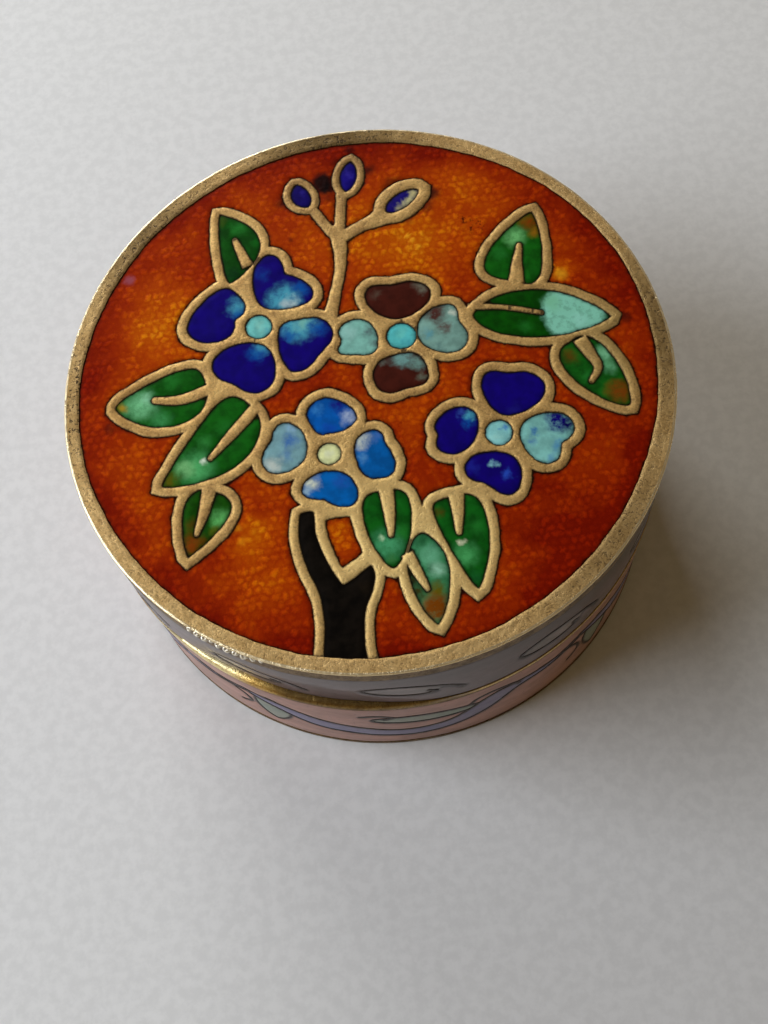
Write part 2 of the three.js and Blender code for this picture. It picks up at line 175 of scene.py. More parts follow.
def ribbon(P, m=10, start=False, end=True):
    """A strip along [x, y, width] stations, with round ends where asked."""
    Q = spline(P, m)
    c, w = Q[:, :2], np.maximum(Q[:, 2], 0.05) / 2
    d = np.gradient(c, axis=0)
    d /= np.hypot(*d.T)[:, None]
    nr = np.stack([-d[:, 1], d[:, 0]], -1)
    left, right = c + nr * w[:, None], c - nr * w[:, None]
    a = np.radians([60, 30, 0, -30, -60])[:, None]
    e = c[-1] + w[-1] * (np.cos(a) * d[-1] + np.sin(a) * nr[-1]) if end else np.zeros((0, 2))
    b = c[0] + w[0] * (-np.cos(a) * d[0] - np.sin(a) * nr[0]) if start else np.zeros((0, 2))
    return np.vstack([left, e, right[::-1], b])


def circle(c, r, n=72):
    t = np.linspace(0, 2 * math.pi, n, endpoint=False)
    return np.stack([c[0] + r * np.cos(t), c[1] + r * np.sin(t)], -1)


def grow(P, w):
    """The outline moved outwards by w, with its corners kept from running away."""
    A = np.sum(P[:, 0] * np.roll(P[:, 1], -1) - np.roll(P[:, 0], -1) * P[:, 1])
    s = 1 if A > 0 else -1
    a, b = P - np.roll(P, 1, 0), np.roll(P, -1, 0) - P
    a /= np.maximum(np.hypot(*a.T), 1e-9)[:, None]
    b /= np.maximum(np.hypot(*b.T), 1e-9)[:, None]
    m = np.stack([a[:, 1] + b[:, 1], -a[:, 0] - b[:, 0]], -1) * s
    l = np.hypot(*m.T)
    return P + m / np.maximum(l, 1e-6)[:, None] * (w / np.maximum(l / 2, 0.62))[:, None]


def uneven(P, seed, amount):
    """A hand-bent outline: moved in and out along its normals by slow noise."""
    n = len(P)
    t = np.linspace(0, 2 * math.pi, n, endpoint=False)
    d = np.roll(P, -1, 0) - np.roll(P, 1, 0)
    d /= np.maximum(np.hypot(*d.T), 1e-9)[:, None]
    k = wave(seed, t, ((2, 1), (3, 0.8), (5, 0.7), (9, 0.6), (14, 0.5)))
    return P + np.stack([d[:, 1], -d[:, 0]], -1) * (k * amount)[:, None]


# ---------------------------------------------------------------- the picture's cells
FLOWERS = {
    "flower_1": ((-6.55, 5.15), 0.92, {
        "upper_right": ((-4.92, 8.23), 29, 3.72, 4.56, 0.36, 1.1, 0.47, 13, -0.39),
        "left": ((-9.16, 6.34), 132, 3.35, 4.35, 0.21, 1.2, 0.32, 200, -0.12),
        "lower_left": ((-7.78, 2.34), -119, 3.83, 4.32, 0.16, 0.97, 0.19, -10, 0.28),
        "right": ((-3.87, 3.35), -29, 3.72, 4.29, 0.22, 0.87, 0.15, -22, 0.66)}),
    "flower_2": ((2.72, 2.71), 1.0, {
        "top": ((2.92, 5.54), 83, 3.09, 4.3, 0.26, 1.03, 0.23, 9, 0.11),
        "right": ((5.49, 2.73), 0, 3.4, 3.66, 0.18, 1.09, 0.27, 15, -0.03),
        "left": ((-0.22, 3.2), 171, 2.88, 2.76, -0.02, 1.2, 0.29, 0, 0.46),
        "bottom": ((2.24, -0.02), -84, 2.93, 3.57, 0.04, 1.26, 0.16, 3, 0.06)}),
    "flower_3": ((-3.14, -4.95), 0.78, {
        "top": ((-2.66, -2.41), 74, 2.81, 3.29, 0.19, 0.84, 0.13, 193, 0.29),
        "left": ((-5.88, -4.08), 157, 2.86, 3.64, 0.18, 1.05, 0.22, -13, 0.11),
        "right": ((-0.3, -5.51), 7, 2.46, 3.49, 0.09, 1.25, 0.22, 15, -0.05),
        "bottom": ((-3.37, -7.35), -110, 2.58, 3.54, 0.23, 1.05, 0.32, -12, 0.14)}),
    "flower_4": ((7.76, -5.4), 0.9, {
        "top": ((9.12, -2.66), 69, 3.49, 4.04, 0.27, 1.02, 0.23, 13, 0.12),
        "left": ((5.08, -4.72), 138, 2.8, 3.58, 0.03, 1.04, 0.28, 40, 0.16),
        "right": ((10.69, -6.15), -35, 3.54, 3.65, 0.23, 0.97, 0.38, -3, -0.05),
        "bottom": ((6.96, -7.97), -121, 2.88, 3.64, 0.2, 1.1, 0.27, -10, 0.34)}),
}
LEAVES = {
    "leaf_top_left": (((-8.1, 8.9), (-8.2, 14.6), 1.1, 1.7, 0.79, 0.83, -0.75), [(-6.75, 10.0, .8), (-7.1, 11.2, .65), (-7.4, 12.3, .4)]),
    "leaf_left": (((-10.5, 1.6), (-16.6, 0.7), 1.94, 1.86, 0.32, 0.66, 0.53), [(-10.2, 1.1, .8), (-12.2, 0.65, .75), (-13.9, 0.9, .5)]),
    "leaf_lower_left": (((-7.9, -0.4), (-13.95, -5.35), 2.03, 2.0, 0.37, 0.81, 0.69), [(-7.3, -0.7, .8), (-9, -2.3, .75), (-10.7, -3.9, .4)]),
    "leaf_bottom_left": (((-10.75, -6.25), (-12.8, -10.45), 1.64, 1.33, 0.33, 0.93, -0.13), [(-11.0, -6.0, 1.0), (-11.5, -7.6, .7), (-12.1, -9.0, .35)]),
    "leaf_bottom_centre": (((-0.05, -8.1), (-0.25, -13.3), 1.53, 1.54, 0.25, 0.65, 0.02), [(0.07, -7.9, 1.0), (0.05, -9.6, .75), (-0.1, -11.1, .4)]),
    "leaf_narrow": (((1.75, -11.3), (1.85, -17.35), 1.25, 1.25, 0.62, 0.84, 0.05), [(0.7, -12.5, .8), (1.15, -13.8, .65), (1.6, -15.0, .35)]),
    "leaf_bottom_right": (((4.0, -9.25), (4.63, -15.5), 1.58, 1.52, 0.22, 0.8, 0.28), [(4.35, -8.9, 1.1), (4.25, -10.4, .75), (4.1, -11.7, .4)]),
    "leaf_top_right": (((10.6, 5.5), (12.98, 10.65), 2.07, 1.8, 0.22, 0.81, 0.06), [(10.9, 5.3, 1.1), (11.25, 6.8, .75), (11.65, 8.2, .4)]),
    "leaf_right": (((7.65, 3.35), (16.5, 1.62), 1.96, 1.73, 0.66, 0.84, 0.1), [(7.4, 4.1, .5), (9.8, 3.6, .4), (12.1, 2.75, .35)]),
    "leaf_lower_right": (((13.55, 0.3), (16.3, -5.0), 1.45, 1.65, 0.31, 0.69, 0.02), [(14.15, 0.4, 1.0), (14.6, -0.8, .8), (14.9, -1.9, .6), (14.3, -2.8, .4)]),
}
BUDS = {
    "bud_left": ((-2.06, 14.0), (-2.7, 16.05), 0.71, 0.62, 0.66, 0.72, 0.06),
    "bud_middle": ((0.69, 14.78), (1.4, 17.27), 0.59, 0.6, 0.69, 0.71, 0.02),
    "bud_right": ((3.2, 12.6), (5.65, 14.0), 0.6, 0.62, 0.55, 0.62, 0.05),
}
STEMS = [
    [(-1.75, 4.9, 1.0), (-1.15, 6.7, .8), (-0.5, 8.9, .8), (-0.35, 10.8, 1.05), (-0.45, 11.7, 1.1)],
    [(-0.4, 11.2, .8), (-1.2, 12.5, .75), (-1.85, 13.9, .7)],
    [(-0.2, 11.4, .8), (0.05, 13.0, .75), (0.35, 14.6, .8)],
    [(-0.1, 11.1, .9), (1.35, 11.75, .95), (2.4, 12.1, 1.3), (3.2, 12.4, 1.7)],
]
# Forked trunk: each limb and the stem by its left and right edge at a height; then the window between the limbs
LIMB_LEFT = [(-8.75, -5.5, -4.65), (-10.2, -5.8, -4.72), (-11.5, -5.72, -4.45), (-12.7, -5.45, -4.05)]
LIMB_RIGHT = [(-12.9, -1.6), (-13.55, -2.75)]
FORK = (-3.5, -13.85)
STEM = [(-13.6, -5.14, -1.43), (-14.6, -4.93, -1.75), (-15.5, -4.9, -2.25), (-16.4, -4.93, -2.52), (-17.9, -5.2, -2.68), (-19.6, -5.45, -2.75)]
TRUNK = ([(b, y) for y, _, b in LIMB_LEFT] + [FORK] + [(x, y) for y, x in LIMB_RIGHT[::-1]] + [(b, y) for y, _, b in STEM]
         + [(a, y) for y, a, _ in STEM[::-1]] + [(a, y) for y, a, _ in LIMB_LEFT[::-1]])
PANE = [(-9.45, -3.95, -2.45), (-10.75, -3.92, -2.3), (-12.0, -3.62, -2.02)]
WINDOW = [(b, y) for y, _, b in PANE] + [(-3.35, -12.75)] + [(a, y) for y, a, _ in PANE[::-1]]



# ---------------------------------------------------------------- planar panels cut into regions
def inside(P, X, Y):
    """Which of the points X, Y are inside the closed outline P."""
    out = np.zeros(len(X), bool)
    lo, hi = P.min(0), P.max(0)
    k = np.nonzero((X >= lo[0]) & (X <= hi[0]) & (Y >= lo[1]) & (Y <= hi[1]))[0]
    if not len(k):
        return out
    x, y = X[k], Y[k]
    q = np.roll(P, -1, 0)
    odd = np.zeros(len(k), bool)
    for (x0, y0), (x1, y1) in zip(P, q):
        if y0 == y1:
            continue
        c = ((y0 > y) != (y1 > y)) & (x < (x1 - x0) * (y - y0) / (y1 - y0) + x0)
        odd ^= c
    out[k] = odd
    return out


def mesh_plane(loops, frame_points, frame_edges, pitch, box, keep_clear=0.07):
    """Triangulates the plane so that every outline is an edge of the mesh. Returns points and triangles."""
    pts, edges = list(map(tuple, frame_points)), list(frame_edges)
    for L in loops:
        b = len(pts)
        pts += [tuple(p) for p in L]
        edges += [(b + i, b + (i + 1) % len(L)) for i in range(len(L))]
    x0, y0, x1, y1 = box
    rows = np.arange(y0, y1, pitch * 0.866)
    X, Y = [], []
    for j, y in enumerate(rows):
        xs = np.arange(x0 + (pitch / 2 if j % 2 else 0), x1, pitch)
        X.append(xs)
        Y.append(np.full_like(xs, y))
    X, Y = np.concatenate(X), np.concatenate(Y)
    X = X + pitch * 0.12 * value_noise(X * 7.1, Y * 7.3, 1.0, 5)
    Y = Y + pitch * 0.12 * value_noise(X * 6.7, Y * 7.9, 1.0, 6)
    g = 0.04
    nx, ny = int((x1 - x0) / g) + 8, int((y1 - y0) / g) + 8
    near = np.zeros((nx, ny), bool)
    A = np.array(pts)
    E = np.array(edges)
    for t in (0.0, 0.25, 0.5, 0.75):
        q = A[E[:, 0]] * (1 - t) + A[E[:, 1]] * t
        i = np.clip(((q[:, 0] - x0) / g).astype(int) + 3, 0, nx - 1)
        j = np.clip(((q[:, 1] - y0) / g).astype(int) + 3, 0, ny - 1)
        near[i, j] = True
    r = int(math.ceil(keep_clear / g))
    wide = near.copy()
    for a in range(-r, r + 1):
        for b in range(-r, r + 1):
            if a * a + b * b <= r * r + 1:
                wide |= np.roll(np.roll(near, a, 0), b, 1)
    i = np.clip(((X - x0) / g).astype(int) + 3, 0, nx - 1)
    j = np.clip(((Y - y0) / g).astype(int) + 3, 0, ny - 1)
    ok = ~wide[i, j]
    pts += list(zip(X[ok].tolist(), Y[ok].tolist()))
    v, _, f, *_ = delaunay_2d_cdt([Vector(p) for p in pts], edges, [], 0, 1e-5)
    return np.array([(p.x, p.y) for p in v]), np.array([t for t in f if len(t) == 3])


def distance_to(points, where, step=0.03):
    """Distance of each point to the nearest of the edges in where ((n, 2, 2) ends)."""
    if not len(where):
        return np.full(len(points), 9.0)
    L = np.hypot(*(where[:, 1] - where[:, 0]).T)
    n = np.maximum(1, np.ceil(L / step).astype(int))
    S = np.concatenate([np.linspace(a, b, k + 1) for (a, b), k in zip(where, n)])
    tree = kdtree.KDTree(len(S))
    for i, p in enumerate(S):
        tree.insert((p[0], p[1], 0), i)
    tree.balance()
    return np.array([tree.find((p[0], p[1], 0))[2] for p in points])


def region_boundary(tris, label):
    """The edges between triangles of different labels, as (a, b, label)."""
    e = np.concatenate([tris[:, [0, 1]], tris[:, [1, 2]], tris[:, [2, 0]]])
    t = np.tile(np.arange(len(tris)), 3)
    key = np.sort(e, 1)
    key = key[:, 0].astype(np.int64) * 10000000 + key[:, 1]
    order = np.argsort(key, kind="stable")
    k, t2, e2 = key[order], t[order], e[order]
    same = np.zeros(len(k), bool)
    pair = k[1:] == k[:-1]
    same[1:] |= pair
    same[:-1] |= pair
    other = np.full(len(k), -1)
    idx = np.nonzero(pair)[0]
    other[idx], other[idx + 1] = t2[idx + 1], t2[idx]
    lab_other = np.where(other >= 0, label[np.maximum(other, 0)], -99)
    edge = lab_other != label[t2]
    return e2[edge], label[t2[edge]]


# ---------------------------------------------------------------- mesh building
def new_object(name, verts, faces, material, nodes=(), smooth_angle=38, attrs=None):
    me = bpy.data.meshes.new(name)
    me.from_pydata([tuple(v) for v in verts], [], [tuple(f) for f in faces])
    me.validate()
    me.update()
    for key, values in (attrs or {}).items():
        a = me.attributes.new(key, "FLOAT", "POINT")
        a.data.foreach_set("value", np.asarray(values, np.float32))
    me.polygons.foreach_set("use_smooth", [True] * len(me.polygons))
    me.set_sharp_from_angle(angle=math.radians(smooth_angle))
    o = bpy.data.objects.new(name, me)
    bpy.context.scene.collection.objects.link(o)
    me.materials.append(material)
    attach(o, "root")
    if nodes:
        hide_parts(*nodes)
    return o


def slab_mesh(P2, tris, bound, top, bottom, attr_values):
    """A closed solid from one region of a panel: top surface, side walls and underside.
    top and bottom map (x, y) arrays to 3-D points."""
    used = np.unique(tris)
    back = np.full(len(P2), -1)
    back[used] = np.arange(len(used))
    n = len(used)
    T = top(P2[used], used)
    B = bottom(P2[used], used)
    f_top = back[tris]
    f_bot = back[tris][:, ::-1] + n
    a, b = back[bound[:, 0]], back[bound[:, 1]]
    walls = np.concatenate([np.stack([a, a + n, b + n], -1), np.stack([a, b + n, b], -1)])
    verts = np.vstack([T, B]) * MM
    faces = np.vstack([f_top, f_bot, walls])
    at = {k: np.concatenate([v[used], v[used]]) for k, v in attr_values.items()}
    return verts, faces, at


# ---------------------------------------------------------------- materials
class Net:
    """Small helper for building node trees."""

    def __init__(self, name):
        self.m = bpy.data.materials.new(name)
        self.m.use_nodes = True
        self.t = self.m.node_tree
        self.t.nodes.clear()
        self.out = self.t.nodes.new("ShaderNodeOutputMaterial")
        self.bsdf = self.t.nodes.new("ShaderNodeBsdfPrincipled")
        self.t.links.new(self.bsdf.outputs[0], self.out.inputs[0])
        self.coord = self.t.nodes.new("ShaderNodeTexCoord").outputs["Object"]

    def put(self, socket, value):
        if isinstance(value, bpy.types.NodeSocket):
            self.t.links.new(value, socket)
        else:
            socket.default_value = value

    def set(self, **kw):
        for k, v in kw.items():
            self.put(self.bsdf.inputs[k.replace("_", " ")], v)

    def node(self, kind, props=None, **inputs):
        n = self.t.nodes.new(kind)
        for k, v in (props or {}).items():
            setattr(n, k, v)
        for k, v in inputs.items():
            self.put(n.inputs[int(k[1:])] if k[0] == "i" and k[1:].isdigit() else n.inputs[k], v)
        return n

    def math(self, op, a, b=0.0, c=0.0, clamp=False):
        n = self.node("ShaderNodeMath", {"operation": op, "use_clamp": clamp}, i0=a, i1=b)
        if op in ("MULTIPLY_ADD", "SMOOTH_MIN", "COMPARE", "WRAP"):
            self.put(n.inputs[2], c)
        return n.outputs[0]

    def vmath(self, op, a, b=(0, 0, 0)):
        n = self.node("ShaderNodeVectorMath", {"operation": op}, i0=a)
        if isinstance(b, bpy.types.NodeSocket) or op not in ("SCALE", "LENGTH"):
            self.put(n.inputs[1], b)
        return n

    def scale(self, v, s):
        n = self.t.nodes.new("ShaderNodeVectorMath")
        n.operation = "SCALE"
        self.put(n.inputs[0], v)
        n.inputs["Scale"].default_value = s
        return n.outputs[0]

    def noise(self, size, detail=2.0, rough=0.5, vec=None, distort=0.0):
        n = self.node("ShaderNodeTexNoise", {"noise_dimensions": "3D"}, Vector=vec or self.coord)
        n.inputs["Scale"].default_value = 1.0 / (size * MM)
        n.inputs["Detail"].default_value = detail
        n.inputs["Roughness"].default_value = rough
        n.inputs["Distortion"].default_value = distort
        return n

    def ramp(self, x, stops, interp="LINEAR"):
        n = self.t.nodes.new("ShaderNodeValToRGB")
        r = n.color_ramp
        r.interpolation = interp
        while len(r.elements) < len(stops):
            r.elements.new(0.5)
        for e, (p, c) in zip(r.elements, stops):
            e.position = p
            e.color = (*c, 1) if len(c) == 3 else c
        self.put(n.inputs[0], x)
        return n.outputs[0]

    def span(self, x, a, b, lo=0.0, hi=1.0, smooth_=True):
        n = self.t.nodes.new("ShaderNodeMapRange")
        n.interpolation_type = "SMOOTHSTEP" if smooth_ else "LINEAR"
        self.put(n.inputs["Value"], x)
        n.inputs["From Min"].default_value, n.inputs["From Max"].default_value = a, b
        n.inputs["To Min"].default_value, n.inputs["To Max"].default_value = lo, hi
        return n.outputs[0]

    def mix(self, f, a, b, mode="MIX"):
        n = self.t.nodes.new("ShaderNodeMix")
        n.data_type, n.blend_type = "RGBA", mode
        n.clamp_factor = True
        self.put(n.inputs[0], f)
        self.put(n.inputs[6], a if isinstance(a, bpy.types.NodeSocket) else (*a, 1))
        self.put(n.inputs[7], b if isinstance(b, bpy.types.NodeSocket) else (*b, 1))
        return n.outputs[2]

    def attr(self, name):
        n = self.t.nodes.new("ShaderNodeAttribute")
        n.attribute_name = name
        return n.outputs["Fac"]

    def bump(self, height, strength, distance, normal=None):
        n = self.t.nodes.new("ShaderNodeBump")
        n.inputs["Strength"].default_value = strength
        n.inputs["Distance"].default_value = distance * MM
        self.put(n.inputs["Height"], height)
        if normal:
            self.put(n.inputs["Normal"], normal)
        return n.outputs[0]


def rgb(r, g, b):
    """8-bit display colour to linear."""
    f = lambda c: (c / 255 / 12.92) if c / 255 <= 0.04045 else ((c / 255 + 0.055) / 1.055) ** 2.4
    return (f(r), f(g), f(b))


def blob(n, vec, x, y, r, soft, z=None):
    """1 inside a spot at (x, y) mm, 0 outside; vec is a position in metres."""
    d = n.node("ShaderNodeVectorMath", {"operation": "DISTANCE"}, i0=vec, i1=(x * MM, y * MM, (H if z is None else z) * MM)).outputs["Value"]
    return n.span(d, (r + soft) * MM, max(r - soft, 0.0) * MM)


def warped(n, amount, size):
    """Object coordinates pushed about by noise, for streaky marbled edges."""
    c = n.noise(size, 3.0, 0.6).outputs["Color"]
    off = n.vmath("SUBTRACT", c, (0.5, 0.5, 0.5)).outputs[0]
    off = n.scale(off, amount * 2 * MM)
    off = n.node("ShaderNodeVectorMath", {"operation": "MULTIPLY"}, i0=off, i1=(1, 1, 0)).outputs[0]
    return n.vmath("ADD", n.coord, off).outputs[0]


def enamel(name, base, spots=(), dark_edge=0.75, marble=0.45, warp=0.5, warp_size=0.8, fine=0.12):
    """Glossy vitreous enamel. spots = (x, y, radius, softness, colour, strength)."""
    n = Net(name)
    w = warped(n, warp, warp_size)
    base_lin = rgb(*base)
    tone = n.noise(0.9, 3.0, 0.6).outputs[0]
    col = n.mix(n.span(tone, 0.3, 0.7), tuple(c * (1 - fine * 2) for c in base_lin), tuple(min(1, c * (1 + fine * 2)) for c in base_lin))
    grain = n.noise(0.42, 4.0, 0.72).outputs[0]
    for (x, y, r, soft, c, k) in spots:
        f = blob(n, w, x, y, r, soft)
        g = n.span(grain, 0.5 - marble * 0.4, 0.5 + marble * 0.2)
        f = n.math("MULTIPLY", f, n.math("MULTIPLY_ADD", g, marble, 1 - marble * 0.8), clamp=True)
        f = n.math("MULTIPLY", f, k)
        col = n.mix(f, col, rgb(*c))
    edge = n.attr("edge")
    jag = n.math("MULTIPLY", n.math("SUBTRACT", n.noise(0.3, 3.0, 0.7).outputs[0], 0.5), 0.22)
    ed = n.math("ADD", edge, jag)
    # a darker halo along the wires: partly painted shade from the wires, partly the glaze's deeper colour where it runs
    # thick; then a narrow dark line of grime at the joint
    col = n.mix(n.span(ed, 0.0, 0.26, dark_edge, 0.0), col, tuple(c * 0.12 for c in base_lin))
    col = n.mix(n.span(ed, 0.02, 0.11, 0.9, 0.0), col, rgb(22, 14, 5))
    n.set(Base_Color=col, Roughness=0.4, Metallic=0.0)
    n.bsdf.inputs["IOR"].default_value = 1.5
    n.bsdf.inputs["Coat Weight"].default_value = 0.24
    n.bsdf.inputs["Coat Roughness"].default_value = 0.07
    n.bsdf.inputs["Specular IOR Level"].default_value = 0.05
    n.set(Normal=n.bump(n.noise(0.5, 3.0, 0.55).outputs[0], 0.2, 0.05))
    n.set(Coat_Normal=n.bump(n.noise(1.6, 2.0, 0.5).outputs[0], 0.25, 0.05))
    return n.m


def foil_enamel(name):
    """Translucent orange enamel over a stamped foil: warm spots in a staggered lattice, the foil's pattern made
    brighter as painted glints where its bumps catch the light.
    """
    n = Net(name)
    P = 0.575                                            # lattice pitch, mm
    wob = n.noise(1.1, 3.0, 0.6).outputs["Color"]
    off = n.scale(n.vmath("SUBTRACT", wob, (0.5, 0.5, 0.5)).outputs[0], 0.95 * MM)
    pos = n.vmath("ADD", n.coord, off).outputs[0]
    sep = n.node("ShaderNodeSeparateXYZ", None, i0=pos)
    v = n.math("DIVIDE", sep.outputs[1], P * 0.88 * MM)
    row = n.math("FLOOR", v)
    odd = n.math("MULTIPLY", n.math("FLOORED_MODULO", row, 2.0), 0.5)
    u = n.math("ADD", n.math("DIVIDE", sep.outputs[0], P * MM), odd)
    colm = n.math("FLOOR", u)
    fu = n.math("SUBTRACT", n.math("SUBTRACT", u, colm), 0.5)
    fv = n.math("SUBTRACT", n.math("SUBTRACT", v, row), 0.5)
    d = n.math("SQRT", n.math("ADD", n.math("MULTIPLY", fu, fu), n.math("MULTIPLY", n.math("MULTIPLY", fv, fv), 0.85)))
    rag = n.math("MULTIPLY", n.math("SUBTRACT", n.noise(0.26, 4.0, 0.75).outputs[0], 0.5), 1.1)
    spot = n.span(n.math("ADD", d, rag), 0.62, 0.0)
    cell = n.node("ShaderNodeCombineXYZ", None, i0=colm, i1=row).outputs[0]
    rnd = n.t.nodes.new("ShaderNodeTexWhiteNoise")
    rnd.noise_dimensions = "2D"
    n.put(rnd.inputs["Vector"], cell)
    # the lattice spots: the foil's own pattern, brightened as painted glints
    lit = n.math("MULTIPLY", spot, n.span(rnd.outputs["Value"], 0.0, 1.0, 0.15, 1.0))
    # broad areas, dark red to amber
    big = n.noise(3.4, 4.0, 0.6, distort=0.4).outputs[0]
    w = warped(n, 1.6, 3.0)
    warm = n.math("ADD", n.math("MULTIPLY", n.span(big, 0.30, 0.72), 0.32), 0.14)
    for (x, y, r, s, k) in ((4.2, 10.0, 2.8, 4.4, 0.52), (-12.8, 5.8, 1.4, 4.0, 0.40), (1.5, -2.2, 1.0, 2.2, 0.12), (-5.5, 12.0, 1.5, 4.5, 0.16),
                            (-12.0, -2.8, 0.6, 1.6, 0.22), (-8.6, -9.9, 0.5, 1.5, 0.36), (13.8, 5.6, 0.3, 1.3, 0.5), (-3.2, -10.4, 0.8, 1.0, 0.4), (9.0, 13.5, 1.0, 4.0, 0.14),
                            (-8.8, -13.6, 1.0, 3.4, 0.2), (6.5, -3.0, 0.5, 2.0, 0.15), (-17.0, -4.0, 1.0, 3.0, 0.2), (12.8, 14.0, 0.5, 3.0, 0.1),
                            (-15.0, -1.0, 2.0, 4.0, 0.13), (-9.5, -7.5, 1.0, 3.0, 0.12), (9.5, 3.6, 1.0, 3.0, 0.12), (3.5, -11.0, 0.8, 2.5, 0.2), (-15.5, -9.0, 1.5, 3.0, 0.12)):
        warm = n.math("ADD", warm, n.math("MULTIPLY", blob(n, w, x, y, r, s), k))
    for (x, y, r, s, k) in ((12.5, -11.0, 3.0, 5.0, 0.24), (7.0, -14.5, 2.0, 3.5, 0.12), (1.5, 0.5, 1.5, 3.0, 0.14)):
        warm = n.math("SUBTRACT", warm, n.math("MULTIPLY", blob(n, w, x, y, r, s), k))
    # painted shade: the ground darker towards the rim's edge
    radial = n.node("ShaderNodeVectorMath", {"operation": "DISTANCE"}, i0=n.node("ShaderNodeVectorMath", {"operation": "MULTIPLY"}, i0=n.coord, i1=(1, 1, 0)).outputs[0], i1=(0, 0, 0)).outputs["Value"]
    warm = n.math("SUBTRACT", warm, n.span(radial, 16.2 * MM, 18.9 * MM, 0.0, 0.24), clamp=True)
    deep = n.ramp(warm, [(0.0, rgb(116, 16, 0)), (0.25, rgb(146, 36, 0)), (0.5, rgb(170, 58, 0)), (0.75, rgb(186, 78, 0)), (1.0, rgb(202, 106, 0))])
    glow = n.ramp(warm, [(0.0, rgb(150, 30, 0)), (0.25, rgb(180, 58, 0)), (0.5, rgb(208, 92, 0)), (0.75, rgb(232, 136, 6)), (1.0, rgb(246, 180, 40))])
    col = n.mix(lit, deep, glow)
    # small bright specks: painted glints
    speck = n.noise(0.16, 3.0, 0.7).outputs[0]
    col = n.mix(n.span(speck, 0.57, 0.70, 0.0, 0.5), col, glow)
    col = n.mix(n.span(n.noise(0.5, 4.0, 0.75).outputs[0], 0.40, 0.28, 0.0, 0.28), col, rgb(92, 16, 0))
    # smoke stains by the buds, a mauve speck and a small crack
    ws = warped(n, 0.35, 0.7)
    for (x, y, r, s, k) in ((-0.8, 15.8, 0.85, 0.35, 0.97), (-0.4, 15.4, 0.5, 0.35, 0.9), (0.35, 17.4, 0.2, 0.4, 0.5), (6.6, 13.6, 0.3, 0.5, 0.7), (6.0, 12.5, 0.3, 0.5, 0.6), (3.7, 14.8, 0.3, 0.5, 0.55), (-3.75, 14.7, 0.30, 0.55, 0.75), (2.45, 16.35, 0.25, 0.5, 0.85), (6.35, 13.4, 0.35, 0.6, 0.75),
                            (4.3, 14.85, 0.3, 0.5, 0.65), (1.4, 18.2, 0.18, 0.4, 0.8), (4.6, 11.7, 0.2, 0.45, 0.45), (-0.62, 14.5, 0.2, 0.4, 0.5),
                            (17.45, 1.4, 0.15, 0.4, 0.7), (17.0, -4.6, 0.2, 0.5, 0.4), (-3.6, 11.6, 0.1, 0.2, 0.5), (-17.0, -0.6, 0.2, 0.45, 0.6)):
        col = n.mix(n.math("MULTIPLY", blob(n, ws, x, y, r, s), k), col, rgb(14, 7, 8))
    for (x, y, r, s, c, k) in ((-14.9, 10.4, 0.36, 0.22, (150, 74, 86), 0.85), (13.9, 5.4, 0.2, 0.5, (250, 190, 40), 0.5), (-9.3, -9.9, 0.15, 0.35, (240, 150, 20), 0.5),
                               (-9.6, -8.9, 0.15, 0.4, (240, 170, 30), 0.4), (13.3, -1.3, 0.1, 0.25, (240, 190, 90), 0.5)):
        col = n.mix(n.math("MULTIPLY", blob(n, ws, x, y, r, s), k), col, rgb(*c))
    crack = n.noise(0.35, 4.0, 0.85).outputs[0]
    crack = n.math("MULTIPLY", n.span(crack, 0.52, 0.57), n.math("MAXIMUM", blob(n, ws, 9.0, 10.3, 0.3, 0.8), blob(n, ws, 8.4, 11.0, 0.1, 0.5)))
    col = n.mix(crack, col, rgb(60, 4, 2))
    edge = n.attr("edge")
    jag = n.math("MULTIPLY", n.math("SUBTRACT", n.noise(0.35, 3.0, 0.7).outputs[0], 0.5), 0.35)
    ed = n.math("ADD", edge, jag)
    # a darker halo along the wires: partly painted shade from the wires, partly the glaze's deeper colour where it runs
    # thick; then a narrow dark line of grime at the joint
    col = n.mix(n.span(ed, 0.0, 0.36, 0.6, 0.0), col, rgb(60, 10, 0))
    col = n.mix(n.span(ed, 0.02, 0.14, 0.9, 0.0), col, rgb(22, 10, 3))
    n.set(Base_Color=col, Roughness=0.5, Metallic=0.12)
    n.bsdf.inputs["IOR"].default_value = 1.5
    n.bsdf.inputs["Coat Weight"].default_value = 0.13
    n.bsdf.inputs["Coat Roughness"].default_value = 0.08
    n.bsdf.inputs["Specular IOR Level"].default_value = 0.02
    hgt = n.math("ADD", lit, n.math("MULTIPLY", n.noise(0.35, 3.0, 0.6).outputs[0], 0.6))
    n.set(Normal=n.bump(hgt, 0.3, 0.05))
    n.set(Coat_Normal=n.bump(n.noise(1.8, 2.0, 0.5).outputs[0], 0.25, 0.05))
    return n.m


